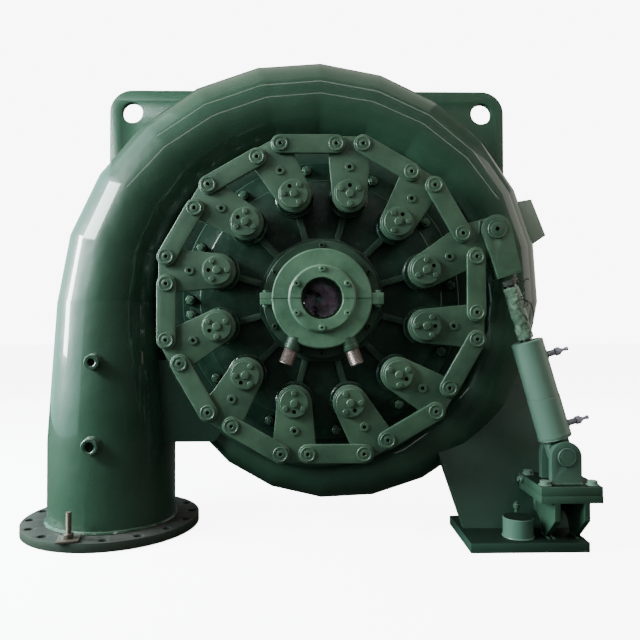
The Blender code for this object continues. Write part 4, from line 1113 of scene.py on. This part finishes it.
# %% Make the servo cylinder
run = polar(PIVOT_R, TWELVE[0]) + polar(DRIVE_ARM, TWELVE[0] + SPREAD / 2) - TRUNNION
REACH = run.length
SERVO_AXIS = move(*TRUNNION, SERVO_Z, math.degrees(math.atan2(run.y, run.x)) - 90)
LOWER_R, UPPER_R = 0.048, 0.0467
PORTS = {"upper": (0.297, UPPER_R), "lower": (0.0825, LOWER_R)}  # height, and the barrel's radius there
barrel = put(solid([
    (0.04, 0.0525), (0.0478, 0.054), (0.049, 0.056), (0.049, 0.064), (0.0484, 0.067), (LOWER_R, 0.071),
    (LOWER_R, 0.1768), (0.047, 0.1776), (0.0458, 0.1777), (0.0458, 0.1786), (UPPER_R, 0.1788),
    (UPPER_R, 0.35), (0.0405, 0.352), (0.024, 0.352), (0.0225, 0.3505), (0.0225, 0.3485),
    (0.0186, 0.3485), (0.0186, 0.34)], 64), UPRIGHT)
eye = belt_plate([((0, 0), 0.033), ((-0.03, 0.06), 0.003), ((0.03, 0.06), 0.003)], -0.02, 0.02)
ease(cut(eye, disc(0.0147, -0.1, 0.1, sides=32)), 0.002, angle=50)
parts = [barrel, eye, put(bead(loop(0.046, 0.0535, 9), 0.003, True), UPRIGHT)]
for height, wall in PORTS.values():
    boss = solid([(0.0165, wall - 0.006), (0.0165, wall), (0.015, wall)], 32)
    parts.append(put(boss, move(0, height) @ spin(90, "Y")))
finish("servo_barrel", paint_all(SERVO, *parts), "green_paint", "servo_cylinder",
       body="servo_cylinder", place=SERVO_AXIS)

for name, (height, wall) in PORTS.items():
    stub = solid([(0.0093, 0), *thread(0.0093, 0.0005, 0.024, 0.0022, 0.0006)], 24)
    tip = solid([(0.0085, 0.0405), (0.0075, 0.044), (0.0045, 0.05), (0.0045, 0.056),
                 (0.006, 0.0585), (0.006, 0.066)], 24)
    finish(f"hose_nipple_{name}", paint_all(NIPPLE, stub, hexagon(0.013, 0.025, 0.041), tip),
           "bright_steel", f"{name}_hose_nipple", body="servo_cylinder",
           place=SERVO_AXIS @ move(wall + HAIR, height) @ spin(90, "Y"))

# %% [markdown]
# The rod ends in a fork that takes the drive lever between its two plates. It is still wrapped in film from
# the works, tied on against paint: a thin crumpled sleeve that rides with the rod.

# %% Make the rod, its fork and its wrapping
rod = put(solid([(0.0165, 0.2), (0.018, 0.2015), (0.018, 0.565)], 40), UPRIGHT)
lock_nut = put(hexagon(0.027, 0.526, 0.544), UPRIGHT)
neck = put(solid([(0.022, 0.545), (0.024, 0.548), (0.026, 0.557)], 32), UPRIGHT)
bridge = block((-0.037, 0.555, -FORK_HALF_T), (0.037, 0.592, FORK_HALF_T))
corners = [((-0.0365, 0.57), 0.0005), ((0.0365, 0.57), 0.0005)]
plates = [belt_plate([((0, REACH), 0.044), *corners], low, low + 0.014, 64)
          for low in (0.015, -FORK_HALF_T)]
fork = ease(cut(weld(bridge, *plates), disc(0.019, -0.1, 0.1, (0, REACH), 40)), 0.0018, angle=50)
finish("piston_rod_fork", [*paint_all(LEVER, fork, neck), paint(lock_nut, WORN), paint(rod, STEEL)],
       "bright_steel", "servo_rod", body="servo_rod", place=SERVO_AXIS)

sleeve = primitive("cylinder", vertices=64, radius=0.0198, depth=0.16, end_fill_type="NOTHING",
                   location=(0, 0, 0.44))
pick(sleeve, "edges", upright)
bpy.ops.mesh.subdivide(number_cuts=44)
bpy.ops.object.mode_set(mode="OBJECT")
bpy.ops.object.transform_apply()
for size, strength in ((0.03, 0.0065), (0.01, 0.0038)):
    crumple = bpy.data.textures.new("crumple", "CLOUDS")
    crumple.noise_scale = size
    modified(sleeve, "DISPLACE", texture=crumple, strength=strength, mid_level=0.15)
FILM_T = 0.0006
modified(sleeve, "SOLIDIFY", thickness=FILM_T)
put(paint(sleeve, FILM), SERVO_AXIS @ UPRIGHT)
strands = [
    [(0.58, 0.05), (0.5854, 0.056), (0.593, 0.0535), (0.6002, 0.0486), (0.6055, 0.054), (0.6088, 0.0572),
     (0.6162, 0.056)],
    [(0.58, 0.048), (0.5854, 0.0462), (0.5925, 0.043), (0.5969, 0.0379), (0.601, 0.031), (0.6026, 0.0239),
     (0.602, 0.016), (0.599, 0.009), (0.5925, 0.002), (0.587, 0.006), (0.5836, 0.0127)],
    [(0.585, -0.002), (0.5952, -0.0031), (0.6073, -0.0057), (0.6198, -0.0128), (0.6265, -0.0244),
     (0.63, -0.0407), (0.6305, -0.0618), (0.6285, -0.076), (0.625, -0.0864)],
    [(0.6002, -0.0031), (0.608, -0.009), (0.6147, -0.0176), (0.609, -0.0235), (0.6026, -0.0274),
     (0.6005, -0.0205), (0.6002, -0.014)],
    [(0.594, -0.046), (0.6026, -0.052), (0.6075, -0.058), (0.61, -0.0656), (0.6091, -0.0775),
     (0.6002, -0.0864)],
]
for strand in strands:
    torn = bead([(x, y, -0.002 - 0.2 * abs(x - 0.6)) for x, y in strand], 0.0017)
    sleeve = joined([sleeve, paint(torn, STRAND)])
finish("film_sleeve", [sleeve], "bright_steel", body="servo_rod", angle=60)
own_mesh(sleeve)

# %% [markdown]
# What stands behind the shaft's bore can't be made out: it is dim and mottled. A crumpled sheet of the same
# film, tucked into the bore against dust, gives that. Its paint is near black, painted shade of the deep
# bore, with teal and pink patches that are painted reflections.

# %% Tuck film into the shaft's bore
film = primitive("circle", vertices=64, radius=0.0547, fill_type="NOTHING", location=(0, 0, -0.15))
open_up(film, "VERT")
for share in (0.92, 0.9, 0.88, 0.86, 0.84, 0.8, 0.75, 0.68, 0.6, 0.5, 0.35, 0.2, 0.08):
    bpy.ops.mesh.extrude_region_move(TRANSFORM_OT_translate={"value": (0, 0, -0.0008)})
    bpy.ops.transform.resize(value=(share, share, 1), center_override=(0, 0, -0.15))
bpy.ops.mesh.merge(type="CENTER")
close_up()
bpy.ops.object.transform_apply()
modified(film, "DISPLACE", texture=bpy.data.textures["crumple"], strength=0.02, direction="Z")
modified(film, "SOLIDIFY", thickness=FILM_T)
finish("bore_film", paint_all(BORE_FILM_SHADE_AND_REFLECTIONS, film), "cast_green", angle=180)

# %% [markdown]
# The studio is plain: a pale floor and a pale backdrop for the camera's eye. Glossy paint shows the
# room that it stands in, though, and a white room would wash the dark green out. So the floor and
# the world look pale to the camera only, and nearly black to every other ray.

# %% Set the floor and the backdrop
def bare_tree(owner):
    """The empty node tree of a material or a world."""
    owner.use_nodes = True
    owner.node_tree.nodes.clear()
    return owner.node_tree


def pale_to_camera(tree, output, seen, felt):
    """Show one shader to the camera's rays and another to all the rest."""
    rays = node(tree, "LightPath", (-400, 300)).outputs["Is Camera Ray"]
    mix = fed(node(tree, "MixShader", (0, 100)), rays, felt.outputs[0], seen.outputs[0])
    node(tree, output, (200, 100), Surface=mix)


floor = primitive("plane", size=60, location=(0, 0, 0))
floor.name = floor.data.name = "studio_floor"
floor_paint = bpy.data.materials.new("pale_floor")
tree = bare_tree(floor_paint)
lit = node(tree, "BsdfDiffuse", (-400, 100), Color=(0.85, 0.85, 0.85, 1))
glow = node(tree, "Emission", (-400, 0), Strength=7.5)
seen = node(tree, "AddShader", (-200, 50))
fed(seen, lit.outputs[0], glow.outputs[0])
felt = node(tree, "BsdfDiffuse", (-400, -150), Color=(0.04, 0.045, 0.04, 1))
pale_to_camera(tree, "OutputMaterial", seen, felt)
paint(floor, floor_paint)

world = bpy.data.worlds.new("studio")
bpy.context.scene.world = world
tree = bare_tree(world)
pale_to_camera(tree, "OutputWorld",
               node(tree, "Background", (-400, 100), Color=(1, 1, 1, 1), Strength=8.5),
               node(tree, "Background", (-400, -100), Color=(0.9, 1, 0.95, 1), Strength=0.07))
print("floor", tuple(floor.dimensions))

# %% [markdown]
# A hall's tall window to the left draws the broad streaks on the casing's flank, and two long roof
# lights draw its thin lines. The left wall and the sky above it are cool, the right side is dim and
# warm, and the lamps called fills only lift the shadows: they leave no shape in the gloss.

# %% Hang the lights and stand the camera
LAMPS = (  # name, place, target, size, power, colour
    ("window_pane", (-3.0, -1.4, 2.3), (0, -0.2, 0.9), (1.8, 0.9), 230, (0.9, 1, 1)),
    ("door", (-3.0, -0.25, 1.25), (0, -0.2, 0.8), (0.5, 1.2), 170, (0.9, 1, 1)),
    ("left_wall", (-3.3, 0.2, 1.6), (0, 0.1, 0.9), (6.5, 3.2), 130, (0.5, 1, 0.92)),
    ("left_sky", (-3.5, -0.2, 3.6), (0, 0, 0.8), (3.0, 3.0), 34, (0.7, 1, 0.94)),
    ("left_fill", (-3.3, -0.7, 1.1), (0.5, -0.2, 0.4), (0.8, 0.8), 75, (0.8, 1, 0.97)),
    ("low_roof_light", (1.0, -3.9, 2.9), (1.0, 0, 1.2), (7.0, 0.1), 14, (1, 1, 1)),
    ("high_roof_light", (1.0, -1.8, 3.9), (1.0, 0, 1.2), (7.0, 0.1), 14, (1, 1, 1)),
    ("roof", (0.0, 0.6, 4.4), (0, 0.2, 0.8), (5.0, 4.0), 36, (0.9, 1, 0.82)),
    ("front_fill", (-1.2, -4.2, 1.6), (0, 0, 0.7), (5.0, 3.5), 20, (1, 1, 1)),
    ("right_wall", (3.0, -0.5, 1.5), (0.4, -0.2, 0.75), (1.4, 2.6), 17, (1, 0.93, 0.86)),
    ("right_rear", (3.3, 1.75, 1.5), (1.2, -0.35, 0.75), (4.4, 2.6), 22, (1, 0.93, 0.86)),
    ("rear_fill", (0.5, 3.8, 2.2), (0, 0.3, 0.7), (4.0, 3.0), 110, (1, 1, 1)),
    ("warm_fill", (2.6, -1.6, 2.6), (0.3, -0.2, 0.9), (2.0, 2.0), 40, (1, 0.94, 0.8)),
)
for name, spot, target, size, energy, colour in LAMPS:
    lamp = bpy.data.objects.new(name, bpy.data.lights.new(name, "AREA"))
    lamp.data.shape = "RECTANGLE"
    lamp.data.size, lamp.data.size_y = size
    lamp.data.energy, lamp.data.color = energy, colour
    lamp.location = spot
    lamp.rotation_euler = (Vector(target) - Vector(spot)).to_track_quat("-Z", "Y").to_euler()
    lamp.visible_glossy = not name.endswith("fill")
    bpy.context.scene.collection.objects.link(lamp)

camera = bpy.data.objects.new("camera", bpy.data.cameras.new("camera"))
bpy.context.scene.collection.objects.link(camera)
camera.data.lens, camera.data.sensor_width = 34.875, 36
EYE = (0.0472, -2.07275, 0.6381)
ROLL = -0.002  # radians
ahead = Vector((0.018, 1, 0.019)).normalized()
level = ahead.cross(Vector((0, 0, 1))).normalized()
above = level.cross(ahead)
across = level * math.cos(ROLL) + above * math.sin(ROLL)
up = above * math.cos(ROLL) - level * math.sin(ROLL)
turn = Matrix((across, up, -ahead)).transposed().to_4x4()
camera.matrix_world = Matrix.Translation(EYE) @ turn
bpy.context.scene.camera = camera
